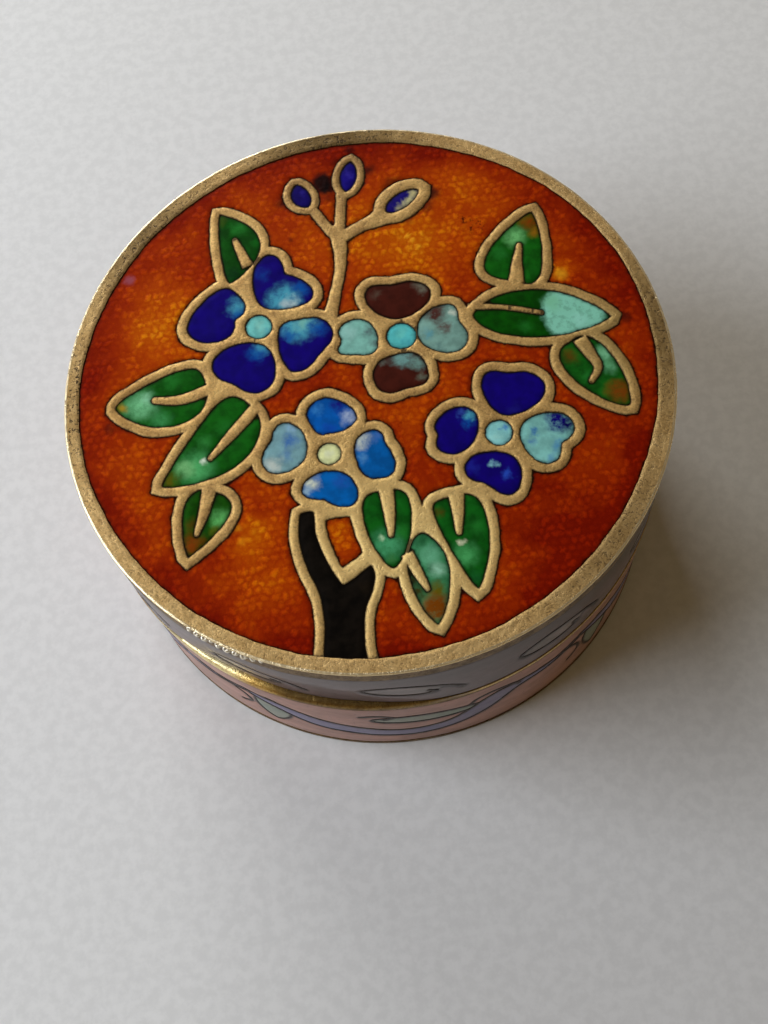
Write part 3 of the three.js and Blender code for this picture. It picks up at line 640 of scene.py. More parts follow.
def brass(name, light, dark, pit=(58, 42, 22), rough=0.45, pits=0.7, size=0.2, grime=0.0, metallic=0.9, bump=0.3, edge_wear_and_painted_light=False, sand=0.35, areas=()):
    """Aged brass: mottled tone, dark pits, a sandy grain. areas: (x, y, radius, softness, colour, strength, more pits)
    for brighter and darker patches, mostly painted light and shade. With the edge flag set, the outermost edge is
    rubbed smooth and given a painted highlight, and the wall under the top gets painted shade."""
    n = Net(name)
    xyz = n.node("ShaderNodeSeparateXYZ", None, i0=n.coord)
    x, y = xyz.outputs[0], xyz.outputs[1]
    tone = n.noise(1.1, 4.0, 0.65).outputs[0]
    col = n.mix(n.span(tone, 0.34, 0.66), rgb(*dark), rgb(*light))
    grain = n.noise(size * 0.55, 3.0, 0.75).outputs[0]
    col = n.mix(n.span(grain, 0.46, 0.60, 0.0, sand), col, tuple(min(1, c * 1.35) for c in rgb(*light)))
    col = n.mix(n.span(grain, 0.46, 0.36, 0.0, sand * 1.3), col, tuple(c * 0.4 for c in rgb(*dark)))
    flat_xy = n.node("ShaderNodeVectorMath", {"operation": "MULTIPLY"}, i0=n.coord, i1=(1, 1, 0)).outputs[0]
    far = None
    for (ax, ay, ar, soft, c, k, more) in areas:
        f = blob(n, flat_xy, ax, ay, ar, soft, z=0)
        if more:
            m = n.math("MULTIPLY", f, more)
            far = m if far is None else n.math("MAXIMUM", far, m)
        f = n.math("MULTIPLY", f, n.span(tone, 0.25, 0.7, k, k * 0.8))
        col = n.mix(f, col, rgb(*c))
    holes = n.noise(size, 3.0, 0.7).outputs[0]
    f = n.math("MULTIPLY", n.span(holes, 0.47, 0.38), pits)
    wide = n.noise(size * 3.2, 3.0, 0.7).outputs[0]
    f = n.math("MAXIMUM", f, n.math("MULTIPLY", n.span(wide, 0.37, 0.28), pits))
    if far is not None:
        f = n.math("MULTIPLY", f, n.math("MULTIPLY_ADD", far, 0.8, 0.5))
    f = n.math("MINIMUM", f, 0.93)
    col = n.mix(f, col, rgb(*pit))
    r = n.span(tone, 0.3, 0.7, rough + 0.08, rough - 0.06, False)
    r = n.math("ADD", r, n.math("MULTIPLY", f, 0.2))
    if edge_wear_and_painted_light:
        radial = n.node("ShaderNodeVectorMath", {"operation": "LENGTH"}, i0=flat_xy).outputs["Value"]
        z = xyz.outputs[2]
        # the outermost edge: smoother from wear, with a painted highlight mixed into its colour
        worn_edge_highlight = n.math("MULTIPLY", n.span(radial, 19.78 * MM, 19.86 * MM), n.span(z, (H - 0.32) * MM, (H - 0.16) * MM))
        col = n.mix(n.math("MULTIPLY", worn_edge_highlight, 0.75), col, rgb(250, 232, 190))
        r = n.math("SUBTRACT", r, n.math("MULTIPLY", worn_edge_highlight, 0.22))
        shade = n.span(z, (H - 0.5) * MM, (H - 0.28) * MM, 0.72, 0.0)
        col = n.mix(shade, col, rgb(84, 66, 40))
    if grime:
        ed = n.math("ADD", n.attr("edge"), n.math("MULTIPLY", n.math("SUBTRACT", grain, 0.5), 0.16))
        col = n.mix(n.span(ed, 0.0, 0.11, grime, 0.0), col, rgb(50, 34, 16))
    n.set(Base_Color=col)
    n.bsdf.inputs["Metallic"].default_value = metallic
    n.set(Roughness=r)
    h = n.math("ADD", n.math("MULTIPLY", n.span(holes, 0.36, 0.5), 1.0), n.math("MULTIPLY", grain, 0.5))
    n.set(Normal=n.bump(h, bump, 0.04))
    return n.m


def side_enamel(name, base, other, sheen_dark, edge_colour=(40, 30, 28), edge_width=0.2, shade_top=0.0):
    """Milky enamel of the side bands: cloudy, glossy, a little streaky round the box."""
    n = Net(name)
    st = n.node("ShaderNodeVectorMath", {"operation": "MULTIPLY"}, i0=n.coord, i1=(1, 1, 2.2)).outputs[0]
    cloud = n.noise(3.0, 3.0, 0.55, vec=st).outputs[0]
    col = n.mix(n.span(cloud, 0.3, 0.7), rgb(*base), rgb(*other))
    fine = n.noise(0.6, 4.0, 0.65, vec=st).outputs[0]
    col = n.mix(n.span(fine, 0.45, 0.75, 0.0, 0.45), col, rgb(*sheen_dark))
    speck = n.noise(0.25, 2.0, 0.6).outputs[0]
    col = n.mix(n.span(speck, 0.34, 0.26, 0.0, 0.6), col, rgb(60, 48, 40))
    if shade_top:
        z = n.node("ShaderNodeSeparateXYZ", None, i0=n.coord).outputs[2]
        zz = n.math("ADD", z, n.math("MULTIPLY", n.math("SUBTRACT", cloud, 0.5), 4 * MM))
        col = n.mix(n.span(zz, (H - 5.2) * MM, (H - 2.2) * MM, 0.0, shade_top), col, rgb(66, 58, 50))
    jag = n.math("MULTIPLY", n.math("SUBTRACT", fine, 0.5), 0.3)
    ed = n.math("ADD", n.attr("edge"), jag)
    col = n.mix(n.span(ed, 0.0, edge_width, 0.8, 0.0), col, rgb(*edge_colour))
    n.set(Base_Color=col, Roughness=0.38, Metallic=0.0)
    n.bsdf.inputs["IOR"].default_value = 1.5
    n.bsdf.inputs["Coat Weight"].default_value = 0.26
    n.bsdf.inputs["Coat Roughness"].default_value = 0.07
    n.bsdf.inputs["Specular IOR Level"].default_value = 0.1
    n.set(Normal=n.bump(n.noise(0.8, 3.0, 0.5).outputs[0], 0.25, 0.05))
    return n.m


# colours of the photographed enamels
COBALT, DEEP, BLUE, SKY = (15, 1, 106), (9, 0, 78), (2, 84, 166), (52, 128, 196)
TURQ, AQUA, PALE, WHITE = (74, 160, 184), (122, 188, 172), (156, 206, 196), (208, 214, 206)
GREEN, DGREEN, LGREEN, MINT = (14, 84, 14), (4, 66, 6), (36, 124, 44), (120, 198, 140)
MAROON, OLIVE, RUST = (64, 22, 14), (92, 84, 6), (128, 56, 4)

PETAL_LOOK = {
    "flower_1_petal_upper_right": (COBALT, [(-4.6, 6.9, 1.0, 0.7, TURQ, 1.0), (-4.3, 6.6, 0.35, 0.5, WHITE, 0.6), (-3.3, 7.6, 0.5, 0.5, BLUE, 0.8), (-5.9, 9.2, 0.2, 0.6, BLUE, 0.35)]),
    "flower_1_petal_left": (COBALT, [(-7.75, 6.9, 0.55, 0.6, TURQ, 0.9), (-7.6, 6.3, 0.3, 0.5, BLUE, 0.8)]),
    "flower_1_petal_lower_left": (COBALT, [(-6.55, 3.55, 0.45, 0.4, TURQ, 0.95), (-6.9, 3.2, 0.4, 0.5, BLUE, 0.7)]),
    "flower_1_petal_right": (COBALT, [(-3.9, 4.9, 1.1, 0.7, TURQ, 1.0), (-3.6, 5.0, 0.5, 0.5, AQUA, 0.8), (-2.6, 4.3, 0.45, 0.5, BLUE, 0.8), (-4.6, 4.1, 0.35, 0.45, BLUE, 0.7)]),
    "flower_2_petal_top": (MAROON, [(4.6, 6.2, 0.25, 0.5, (126, 130, 112), 0.6), (1.5, 6.1, 0.2, 0.4, (100, 96, 80), 0.35)]),
    "flower_2_petal_right": ((118, 158, 146), [(5.1, 4.1, 0.75, 0.5, (74, 28, 22), 0.95), (5.6, 2.9, 0.3, 0.35, (84, 40, 36), 0.8), (6.5, 3.9, 0.2, 0.3, (236, 240, 220), 0.6), (5.0, 1.5, 0.2, 0.4, (86, 120, 116), 0.7), (4.5, 2.5, 0.2, 0.4, TURQ, 0.5)]),
    "flower_2_petal_left": ((124, 182, 168), [(0.75, 3.5, 0.3, 0.4, (74, 76, 84), 0.7), (0.85, 2.5, 0.2, 0.4, (84, 92, 96), 0.7), (-0.7, 3.6, 0.3, 0.5, PALE, 0.7)]),
    "flower_2_petal_bottom": (MAROON, [(2.5, 1.1, 0.65, 0.45, (112, 158, 152), 0.9), (3.45, 0.5, 0.45, 0.4, (110, 150, 140), 0.9), (3.5, -0.6, 0.2, 0.35, (110, 122, 104), 0.7), (1.2, 0.9, 0.2, 0.3, (96, 110, 100), 0.6)]),
    "flower_3_petal_top": (BLUE, [(-2.0, -1.5, 0.45, 0.5, (20, 10, 120), 0.9), (-1.45, -2.6, 0.5, 0.45, (160, 176, 206), 0.95), (-3.5, -1.7, 0.25, 0.45, SKY, 0.8), (-2.9, -3.3, 0.3, 0.5, (16, 70, 180), 0.6)]),
    "flower_3_petal_left": ((118, 160, 166), [(-5.5, -3.6, 0.3, 0.6, (40, 96, 180), 0.75), (-5.9, -4.6, 0.25, 0.45, (60, 104, 176), 0.5), (-6.9, -5.1, 0.45, 0.5, (196, 206, 196), 0.9), (-5.3, -2.6, 0.25, 0.4, (140, 180, 210), 0.8)]),
    "flower_3_petal_right": ((2, 88, 160), [(-1.05, -4.3, 0.55, 0.5, (196, 204, 190), 0.9), (0.2, -4.2, 0.3, 0.4, (84, 120, 190), 0.6), (0.7, -4.6, 0.16, 0.2, (150, 40, 50), 0.8), (-1.2, -5.6, 0.2, 0.4, (90, 150, 200), 0.6)]),
    "flower_3_petal_bottom": ((1, 92, 168), [(-4.5, -6.7, 0.42, 0.45, (214, 220, 196), 0.95), (-4.9, -7.3, 0.25, 0.4, (160, 190, 200), 0.7), (-2.5, -6.9, 0.4, 0.5, (40, 80, 180), 0.5)]),
    "flower_4_petal_top": (COBALT, [(9.0, -3.9, 0.2, 0.5, (30, 30, 130), 0.5)]),
    "flower_4_petal_left": (COBALT, [(6.15, -3.85, 0.30, 0.28, TURQ, 1.0), (5.9, -4.3, 0.2, 0.4, BLUE, 0.7), (5.6, -3.5, 0.15, 0.3, (60, 100, 190), 0.5)]),
    "flower_4_petal_right": ((122, 184, 176), [(11.6, -5.2, 0.75, 0.45, COBALT, 1.0), (12.2, -5.7, 0.4, 0.35, DEEP, 1.0), (10.0, -5.6, 0.22, 0.3, BLUE, 0.8), (9.7, -6.4, 0.2, 0.3, (50, 100, 180), 0.6), (11.3, -7.0, 0.3, 0.4, SKY, 0.6), (10.7, -7.7, 0.25, 0.4, (90, 150, 190), 0.7)]),
    "flower_4_petal_bottom": (COBALT, [(7.0, -7.45, 0.22, 0.25, (130, 190, 200), 0.95), (7.7, -8.3, 0.25, 0.3, (40, 80, 190), 0.85), (5.7, -7.5, 0.25, 0.4, (30, 40, 150), 0.6)]),
    "flower_1_centre": ((110, 192, 186), [(-6.5, 5.2, 0.3, 0.4, (150, 216, 200), 0.7), (-6.0, 4.8, 0.2, 0.3, TURQ, 0.5)]),
    "flower_2_centre": ((84, 184, 184), [(2.7, 2.9, 0.3, 0.4, (110, 206, 196), 0.7), (3.0, 2.2, 0.2, 0.3, (60, 150, 170), 0.5)]),
    "flower_3_centre": ((226, 230, 166), [(-3.1, -4.9, 0.2, 0.3, (226, 232, 196), 0.7), (-3.5, -5.3, 0.1, 0.3, (190, 200, 150), 0.6)]),
    "flower_4_centre": ((134, 200, 198), [(8.1, -5.1, 0.18, 0.2, (60, 120, 190), 0.9), (7.5, -5.7, 0.25, 0.3, (160, 216, 206), 0.7)]),
    "bud_left": ((18, 6, 92), [(-2.3, 15.3, 0.1, 0.3, (40, 30, 130), 0.7)]),
    "bud_middle": ((20, 8, 112), [(1.1, 16.2, 0.1, 0.4, (50, 40, 150), 0.6)]),
    "bud_right": ((24, 14, 104), [(4.85, 13.1, 0.5, 0.22, (196, 190, 138), 1.0), (5.3, 13.7, 0.35, 0.25, (196, 186, 130), 1.0), (4.1, 12.7, 0.3, 0.25, (176, 170, 126), 0.95)]),
}
LEAF_LOOK = {
    "leaf_top_left": ((12, 72, 12), [(-7.0, 13.2, 0.3, 0.6, LGREEN, 0.8), (-8.2, 14.0, 0.2, 0.45, (60, 74, 10), 0.8), (-7.9, 9.6, 0.3, 0.6, (6, 40, 20), 0.8), (-5.9, 11.9, 0.2, 0.5, (20, 110, 30), 0.6)]),
    "leaf_left": (GREEN, [(-14.9, 0.7, 0.8, 0.8, MINT, 0.95), (-14.4, 1.1, 0.35, 0.4, (150, 214, 170), 0.7), (-13.7, -0.6, 0.5, 0.6, (70, 160, 90), 0.7), (-16.1, 0.7, 0.25, 0.3, (180, 140, 30), 0.8), (-12.7, 2.2, 0.3, 0.7, LGREEN, 0.6)]),
    # the tiny near-white speck at (-11.1, -4.1) is a painted highlight, partly a pale bubble in the glaze
    "leaf_lower_left": (GREEN, [(-11.7, -4.4, 0.8, 0.9, (84, 176, 104), 0.95), (-11.1, -4.1, 0.14, 0.2, (240, 250, 230), 0.9), (-12.4, -4.3, 0.45, 0.5, (128, 192, 124), 0.85), (-13.5, -5.0, 0.45, 0.5, OLIVE, 0.9), (-9.5, -2.0, 0.3, 0.8, LGREEN, 0.5), (-11.0, -2.7, 0.2, 0.6, (60, 150, 70), 0.5)]),
    "leaf_bottom_left": ((20, 72, 6), [(-10.5, -8.2, 0.35, 0.6, (100, 186, 100), 0.95), (-12.5, -9.6, 0.6, 0.6, RUST, 0.95), (-10.8, -9.2, 0.3, 0.5, (110, 110, 20), 0.7), (-12.3, -8.3, 0.2, 0.5, (90, 60, 8), 0.7)]),
    # the tiny pale speck at (-0.7, -11.3) is a painted highlight, partly a pale bubble in the glaze
    "leaf_bottom_centre": ((12, 84, 18), [(-0.4, -11.8, 0.7, 0.9, (72, 158, 106), 0.95), (-0.7, -11.3, 0.12, 0.25, (190, 226, 180), 0.8), (0.7, -11.0, 0.2, 0.6, LGREEN, 0.7), (-0.3, -12.8, 0.2, 0.4, (60, 120, 60), 0.6)]),
    "leaf_narrow": ((52, 120, 76), [(2.1, -12.9, 0.5, 0.6, (104, 176, 136), 0.95), (2.4, -13.9, 0.4, 0.4, (150, 204, 172), 0.85), (2.1, -15.2, 0.45, 0.4, (94, 88, 6), 0.95), (1.9, -16.3, 0.8, 0.5, (122, 60, 0), 0.97), (0.6, -14.1, 0.55, 0.4, (46, 36, 8), 0.97), (1.0, -15.1, 0.45, 0.4, (54, 48, 8), 0.95), (1.85, -11.6, 0.2, 0.5, (24, 84, 44), 0.8)]),
    # the tiny near-white speck at (4.15, -12.3) is a painted highlight, partly a pale bubble in the glaze
    "leaf_bottom_right": ((12, 84, 18), [(4.2, -13.2, 0.4, 0.8, (72, 160, 90), 0.95), (4.15, -12.3, 0.12, 0.25, (240, 236, 200), 0.8), (3.0, -10.2, 0.2, 0.4, (90, 60, 10), 0.6), (4.6, -14.8, 0.3, 0.5, (20, 90, 40), 0.7), (5.3, -11.5, 0.25, 0.7, LGREEN, 0.6)]),
    "leaf_top_right": (GREEN, [(11.5, 8.9, 0.55, 0.6, (110, 186, 110), 0.95), (12.6, 9.9, 0.5, 0.5, RUST, 0.95), (12.9, 9.0, 0.3, 0.45, (150, 96, 16), 0.8), (9.7, 6.2, 0.3, 0.6, (10, 80, 14), 0.6), (10.2, 7.8, 0.2, 0.6, LGREEN, 0.6), (12.4, 6.0, 0.2, 0.6, (12, 80, 16), 0.6)]),
    "leaf_right": ((6, 68, 4), [(14.2, 2.4, 2.05, 0.35, (132, 202, 176), 1.0), (12.9, 3.4, 0.5, 0.5, (120, 190, 150), 0.8), (14.5, 1.7, 0.4, 0.5, (150, 216, 196), 0.6), (10.9, 1.9, 0.25, 0.5, LGREEN, 0.5)]),
    "leaf_lower_right": ((16, 84, 18), [(15.6, -0.9, 0.55, 0.5, (118, 186, 140), 0.95), (15.6, -2.0, 0.3, 0.5, (100, 170, 120), 0.8), (13.3, -0.8, 0.4, 0.5, (96, 60, 10), 0.8), (15.9, -3.9, 0.7, 0.5, (120, 60, 8), 0.95), (14.2, -2.4, 0.3, 0.5, (40, 130, 50), 0.6)]),
}

MATS = {}
for key, (base, spots) in {**PETAL_LOOK, **LEAF_LOOK}.items():
    leafy = key.startswith("leaf")
    MATS[key] = enamel(key + "_glaze", base, spots, marble=0.35 if leafy else 0.6, warp=0.45 if leafy else 0.6, warp_size=0.9 if leafy else 0.7,
                       fine=0.16 if leafy else 0.10, dark_edge=0.7 if leafy else 0.75)
MATS["trunk"] = enamel("trunk_glaze", (13, 9, 6), [(-2.2, -14.2, 0.2, 0.6, (30, 22, 12), 0.6)], fine=0.3)
MATS["ground"] = foil_enamel("orange_foil_glaze")
# wire areas: a brighter front as painted light; darker patches at the back, left, front left and right as painted
# shade, with more pits in some
MATS["wire"] = brass("cloison_brass", (220, 180, 110), (182, 143, 84), rough=0.52, pits=0.5, size=0.22, grime=0.85, bump=0.3, metallic=0.7, sand=0.24,
                     areas=[(1.0, -12.5, 3.5, 7.5, (246, 214, 140), 0.95, 0), (0.0, 19.0, 4.5, 5.0, (146, 112, 66), 0.85, 0.6), (-15.0, -13.0, 1.5, 4.0, (150, 112, 58), 0.6, 0.3),
                            (17.0, 0.0, 1.0, 5.0, (176, 154, 94), 0.6, 0),
                            (-16.0, 1.0, 1.5, 4.5, (164, 122, 62), 0.75, 0.3)])
# rim areas: darker at the back, left, right and front right, painted shade by where the light falls, with more pits
# there
MATS["rim"] = brass("rim_brass", (222, 186, 124), (186, 150, 92), rough=0.5, pits=0.8, size=0.2, bump=0.35, edge_wear_and_painted_light=True, metallic=0.75,
                    areas=[(0.0, 19.4, 4.0, 7.0, (98, 76, 34), 1.0, 0.75), (-13.7, 13.7, 3.0, 6.5, (100, 78, 36), 0.86, 0.8), (19.4, 0.0, 3.5, 6.0, (100, 78, 38), 0.72, 0.6),
                           (13.7, -13.7, 3.0, 6.0, (104, 80, 42), 0.46, 0.5), (-19.4, 2.0, 4.0, 6.0, (136, 108, 62), 0.42, 1.0)])
# ledge areas: darker towards the front; a pale painted highlight at the front left
MATS["gold"] = brass("bright_brass", (232, 190, 108), (188, 144, 74), rough=0.3, pits=0.5, size=0.24, bump=0.2,
                     areas=[(-3.0, -19.0, 6.5, 1.2, (96, 75, 44), 0.9, 0.5), (-14.5, -13.5, 3.8, 1.4, (255, 240, 184), 0.9, 0)])
MATS["inner"] = brass("inner_brass", (206, 172, 110), (178, 144, 86), rough=0.38, pits=0.25, size=0.3, bump=0.12, sand=0.15)
MATS["dull"] = brass("side_brass", (134, 108, 70), (96, 76, 48), rough=0.5, pits=0.5, size=0.24, bump=0.2)
nb = Net("solder_bead")
ring = nb.attr("edge")
mottle = nb.noise(0.12, 3.0, 0.6).outputs[0]
# pale solder tone, brightened as a painted highlight; painted shade darkens the crater, and the colour darkens towards
# the bead's back where it meets the rim
bead_col = nb.mix(nb.span(mottle, 0.35, 0.65), rgb(236, 230, 212), rgb(206, 194, 166))
bead_col = nb.mix(nb.span(ring, 0.62, 0.30, 0.0, 0.8), bead_col, rgb(120, 100, 72))
bead_col = nb.mix(nb.span(ring, 1.5, 2.1, 0.0, 0.7), bead_col, rgb(110, 92, 66))
nb.set(Base_Color=bead_col, Roughness=0.22, Metallic=0.35)
nb.bsdf.inputs["Coat Weight"].default_value = 0.5
MATS["bead"] = nb.m
# side wires: brass given a dark colour, painted shade for the dark surroundings they reflect
MATS["side_wire"] = brass("side_wire_brass_painted_shade", (70, 58, 52), (40, 32, 30), rough=0.45, pits=0.3, size=0.2, grime=0.4, bump=0.2)
MATS["lid_side"] = side_enamel("lilac_glaze", (98, 84, 83), (118, 101, 102), (78, 67, 63), edge_width=0.34, shade_top=0.55)
MATS["base_side"] = side_enamel("pink_glaze", (178, 130, 114), (150, 108, 92), (132, 88, 80), edge_width=0.22)
MATS["base_ribbon"] = side_enamel("ribbon_glaze", (102, 98, 134), (122, 114, 142), (78, 74, 106))
MATS["base_patch"] = side_enamel("patch_glaze", (112, 126, 112), (134, 138, 122), (88, 98, 90))
MATS["cloud"] = side_enamel("cloud_glaze", (112, 104, 102), (138, 126, 124), (80, 78, 72))
MATS["under"] = side_enamel("underside_glaze", (160, 120, 112), (142, 108, 106), (122, 90, 88))


# ---------------------------------------------------------------- 1. the picture on the lid
def rim_inner(th):
    """Radius of the rim's inner edge: nearly round, cut by hand."""
    r = R_FIELD + 0.045 * wave("rim", th, ((7, 1), (12, 1), (19, 0.9), (31, 0.9), (47, 0.9), (83, 0.7), (121, 0.5)))
    for k, (a, b) in enumerate(RIM_WAVES, 1):
        r = r + a * np.cos(k * th) + b * np.sin(k * th)
    return r


STEP = 0.12
cells, outers = {}, []
for fname, (eye, r, petals) in FLOWERS.items():
    for pname, p in petals.items():
        key = f"{fname}_petal_{pname}"
        P = uneven(resample(petal(*p), STEP), key, 0.03)
        cells[key] = P
        outers.append(resample(uneven(grow(resample(P, 0.25), WIRE), key + "o", 0.05), STEP))
    cells[fname + "_centre"] = uneven(resample(circle(eye, r), STEP), fname, 0.02)
    outers.append(resample(circle(eye, r + 1.1), STEP))
veins = {}
for name, (l, vein) in LEAVES.items():
    P = uneven(resample(leaf(*l), STEP), name, 0.03)
    cells[name] = P
    outers.append(resample(uneven(grow(resample(P, 0.25), WIRE), name + "o", 0.05), STEP))
    veins[name] = resample(uneven(ribbon(vein), name + "v", 0.02), STEP)
for name, l in BUDS.items():
    P = resample(leaf(*l), STEP)
    cells[name] = P
    outers.append(resample(uneven(grow(resample(P, 0.2), 0.86 if name == "bud_right" else 0.56), name + "o", 0.03), STEP))
window = uneven(resample(spline_loop(WINDOW, 0.35), STEP), "window", 0.02)
cells["trunk_window"] = window
outers.append(resample(grow(resample(window, 0.3), 0.6), STEP))
trunk = [uneven(resample(spline_loop(TRUNK, 0.5), STEP), "t0", 0.02)]
trunk_outer = [resample(uneven(grow(resample(spline_loop(TRUNK, 0.5), 0.3), 0.62), "to0", 0.03), STEP)]
stems = [resample(uneven(ribbon(s), f"s{i}", 0.03), STEP) for i, s in enumerate(STEMS)]

n_rim = 900
th = np.linspace(0, 2 * math.pi, n_rim, endpoint=False)
rr = rim_inner(th)
rim_pts = np.stack([rr * np.cos(th), rr * np.sin(th)], -1)
loops = list(cells.values()) + outers + list(veins.values()) + trunk + trunk_outer + stems
P2, tris = mesh_plane(loops, rim_pts, [(i, (i + 1) % n_rim) for i in range(n_rim)], 0.2, (-19.3, -19.3, 19.3, 19.3))
C = P2[tris].mean(1)
X, Y = C[:, 0], C[:, 1]
keep = np.hypot(X, Y) < rim_inner(np.arctan2(Y, X))
names = list(cells) + ["trunk"]
label = np.full(len(tris), 1000)                       # 1000 = ground, 999 = wire
for P in outers + trunk_outer + stems + list(veins.values()):
    label[inside(P, X, Y)] = 999
for i, k in enumerate(cells):
    label[inside(cells[k], X, Y)] = i
for P in trunk:
    label[inside(P, X, Y)] = len(cells)
for k in veins:
    label[inside(veins[k], X, Y) & ~np.isin(label, [names.index("flower_2_petal_right")])] = 999
for s in stems:
    hit = inside(s, X, Y) & (label == 1000)
    label[hit] = 999
label[~keep] = -1
a, b, c = P2[tris[:, 0]], P2[tris[:, 1]], P2[tris[:, 2]]
area = ((b[:, 0] - a[:, 0]) * (c[:, 1] - a[:, 1]) - (c[:, 0] - a[:, 0]) * (b[:, 1] - a[:, 1])) / 2
flip = area < 0
tris[flip] = tris[flip][:, ::-1]
good = (np.abs(area) > 1e-7) & (label >= 0)
tris, label, area = tris[good], label[good], np.abs(area[good])


def components(tris, pick):
    """Connected groups of the picked triangles, by shared edges."""
    idx = np.nonzero(pick)[0]
    parent = {int(i): int(i) for i in idx}

    def root(i):
        while parent[i] != i:
            parent[i] = parent[parent[i]]
            i = parent[i]
        return i

    seen = {}
    for i in idx:
        t = tris[i]
        for u, v in ((t[0], t[1]), (t[1], t[2]), (t[2], t[0])):
            k = (int(min(u, v)), int(max(u, v)))
            if k in seen:
                a_, b_ = root(seen[k]), root(int(i))
                if a_ != b_:
                    parent[a_] = b_
            else:
                seen[k] = int(i)
    groups = {}
    for i in idx:
        groups.setdefault(root(int(i)), []).append(int(i))
    return list(groups.values())


for g in components(tris, label == 1000):              # pockets too small for enamel are solder
    if area[g].sum() < 0.28:
        label[g] = 999
for i in list(range(len(names))) + [999]:              # stray slivers join the wires
    gs = components(tris, label == i)
    gs.sort(key=lambda g: -area[g].sum())
    for g in gs[1:]:
        label[g] = 999 if i != 999 else 1000

be, bl = region_boundary(tris, label)
segs = np.stack([P2[be[:, 0]], P2[be[:, 1]]], 1)


def top_wire(P, used, d):
    """Flat brass, ground flush, with softened edges and fine pits."""
    x, y = P[:, 0], P[:, 1]
    z = H - 0.018 - 0.055 * (1 - smooth(0.0, 0.16, d)) ** 1.5
    z = z - 0.014 * smooth(0.25, 0.85, value_noise(x, y, 0.19, 3)) - 0.008 * (value_noise(x, y, 0.7, 4) + 1) / 2
    return np.stack([x, y, z], -1)


def top_glaze(P, used, d, drop=0.075, dome=0.03, seed=9):
    """Fused enamel: a little lower than the wires, dipping at its edges and gently uneven."""
    x, y = P[:, 0], P[:, 1]
    z = H - drop - dome * (1 - smooth(0.0, 0.35, d)) + 0.012 * value_noise(x, y, 1.3, seed) * smooth(0, 0.4, d) + 0.004 * value_noise(x, y, 0.45, seed + 1)
    return np.stack([x, y, z], -1)


def flat(z):
    return lambda P, used: np.stack([P[:, 0], P[:, 1], np.full(len(P), z)], -1)


def add_region(name, which, top_fn, material, nodes, z_bottom=Z_BED + 0.02, smooth_angle=38):
    pick = label == which
    T = tris[pick]
    B = be[bl == which]
    used = np.unique(T)
    d = np.zeros(len(P2))
    d[used] = distance_to(P2[used], segs[bl == which])
    v, f, at = slab_mesh(P2, T, B, lambda P, u: top_fn(P, u, d[u]), flat(z_bottom), {"edge": d})
    return new_object(name, v, f, material, nodes, smooth_angle, at)


for i, k in enumerate(names):
    mat = MATS["ground"] if k == "trunk_window" else MATS[k]
    add_region(k + "_enamel", i, lambda P, u, d, s=i: top_glaze(P, u, d, seed=20 + s), mat, [k])
grounds = [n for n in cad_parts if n.startswith("ground_enamel")]
add_region("ground_foil_enamel", 1000, top_glaze, MATS["ground"], grounds)
add_region("cloison_wire_network", 999, top_wire, MATS["wire"], ["cloison_wires"])


# ---------------------------------------------------------------- 2. turned brass: lid and base
def turned(name, rows, n_seg, materials, nodes, row_material=None, smooth_angle=34):
    """A turned solid from rows of (r, z) over the angle; a row whose radius is 0 is a point on the axis."""
    t = np.linspace(0, 2 * math.pi, n_seg, endpoint=False)
    verts, faces, start, mats = [], [], [], []
    for r, z in rows:
        r = np.broadcast_to(r(t) if callable(r) else r, t.shape)
        z = np.broadcast_to(z(t) if callable(z) else z, t.shape)
        start.append(len(verts))
        if np.all(r == 0):
            verts.append((0, 0, float(z[0]) * MM))
        else:
            verts += list(zip(r * np.cos(t) * MM, r * np.sin(t) * MM, z * MM))
    for i in range(len(rows) - 1):
        a0, b0 = start[i], start[i + 1]
        pa = (start[i + 1] - start[i]) == 1
        pb = ((start[i + 2] if i + 2 < len(rows) else len(verts)) - start[i + 1]) == 1
        for j in range(n_seg):
            k = (j + 1) % n_seg
            if pa:
                faces.append((a0, b0 + j, b0 + k))
            elif pb:
                faces.append((a0 + j, b0, a0 + k))
            else:
                faces.append((a0 + j, b0 + j, b0 + k, a0 + k))
            mats.append(row_material(i) if row_material else 0)
    me = bpy.data.meshes.new(name)
    me.from_pydata(verts, [], faces)
    me.polygons.foreach_set("material_index", mats)
    me.polygons.foreach_set("use_smooth", [True] * len(me.polygons))
    me.update()
    if sum(p.center.dot(p.normal) * p.area for p in me.polygons) < 0:      # the faces point outwards
        me.flip_normals()
    me.set_sharp_from_angle(angle=math.radians(smooth_angle))
    o = bpy.data.objects.new(name, me)
    bpy.context.scene.collection.objects.link(o)
    for m in materials:
        me.materials.append(m)
    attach(o, "root")
    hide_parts(*nodes)
    return o


def lean(t):
    a = np.degrees(t) % 360
    return 0.46 * smooth(281, 256, a) * smooth(214, 236, a)


Z_BORDER = Z_SEAM + 0.52                                # lower edge of the lid's side enamel


def border(t):
    return Z_BORDER + 0.05 * wave("border", t, ((3, 1), (8, 1), (17, 0.7), (29, 0.6)))


def lid_wall(t, z):
    """Radius of the lid's side enamel."""
    return R - 0.045 - lean(t) * smooth(-0.15, 1.05, (H - 1.4 - z) / 6.7)


def rim_pits(t, r, seed):
    x, y = r * np.cos(t), r * np.sin(t)
    return -0.022 * smooth(0.2, 0.9, value_noise(x, y, 0.22, seed)) - 0.010 * (value_noise(x, y, 0.8, seed + 1) + 1) / 2 - 0.010 * smooth(0.3, 0.9, value_noise(x, y, 0.11, seed + 2))


rows, tags = [], []
def row(r, z, tag=0):
    rows.append((r, z))
    tags.append(tag)


RIM, GOLD, INNER, DULL = 0, 1, 2, 3
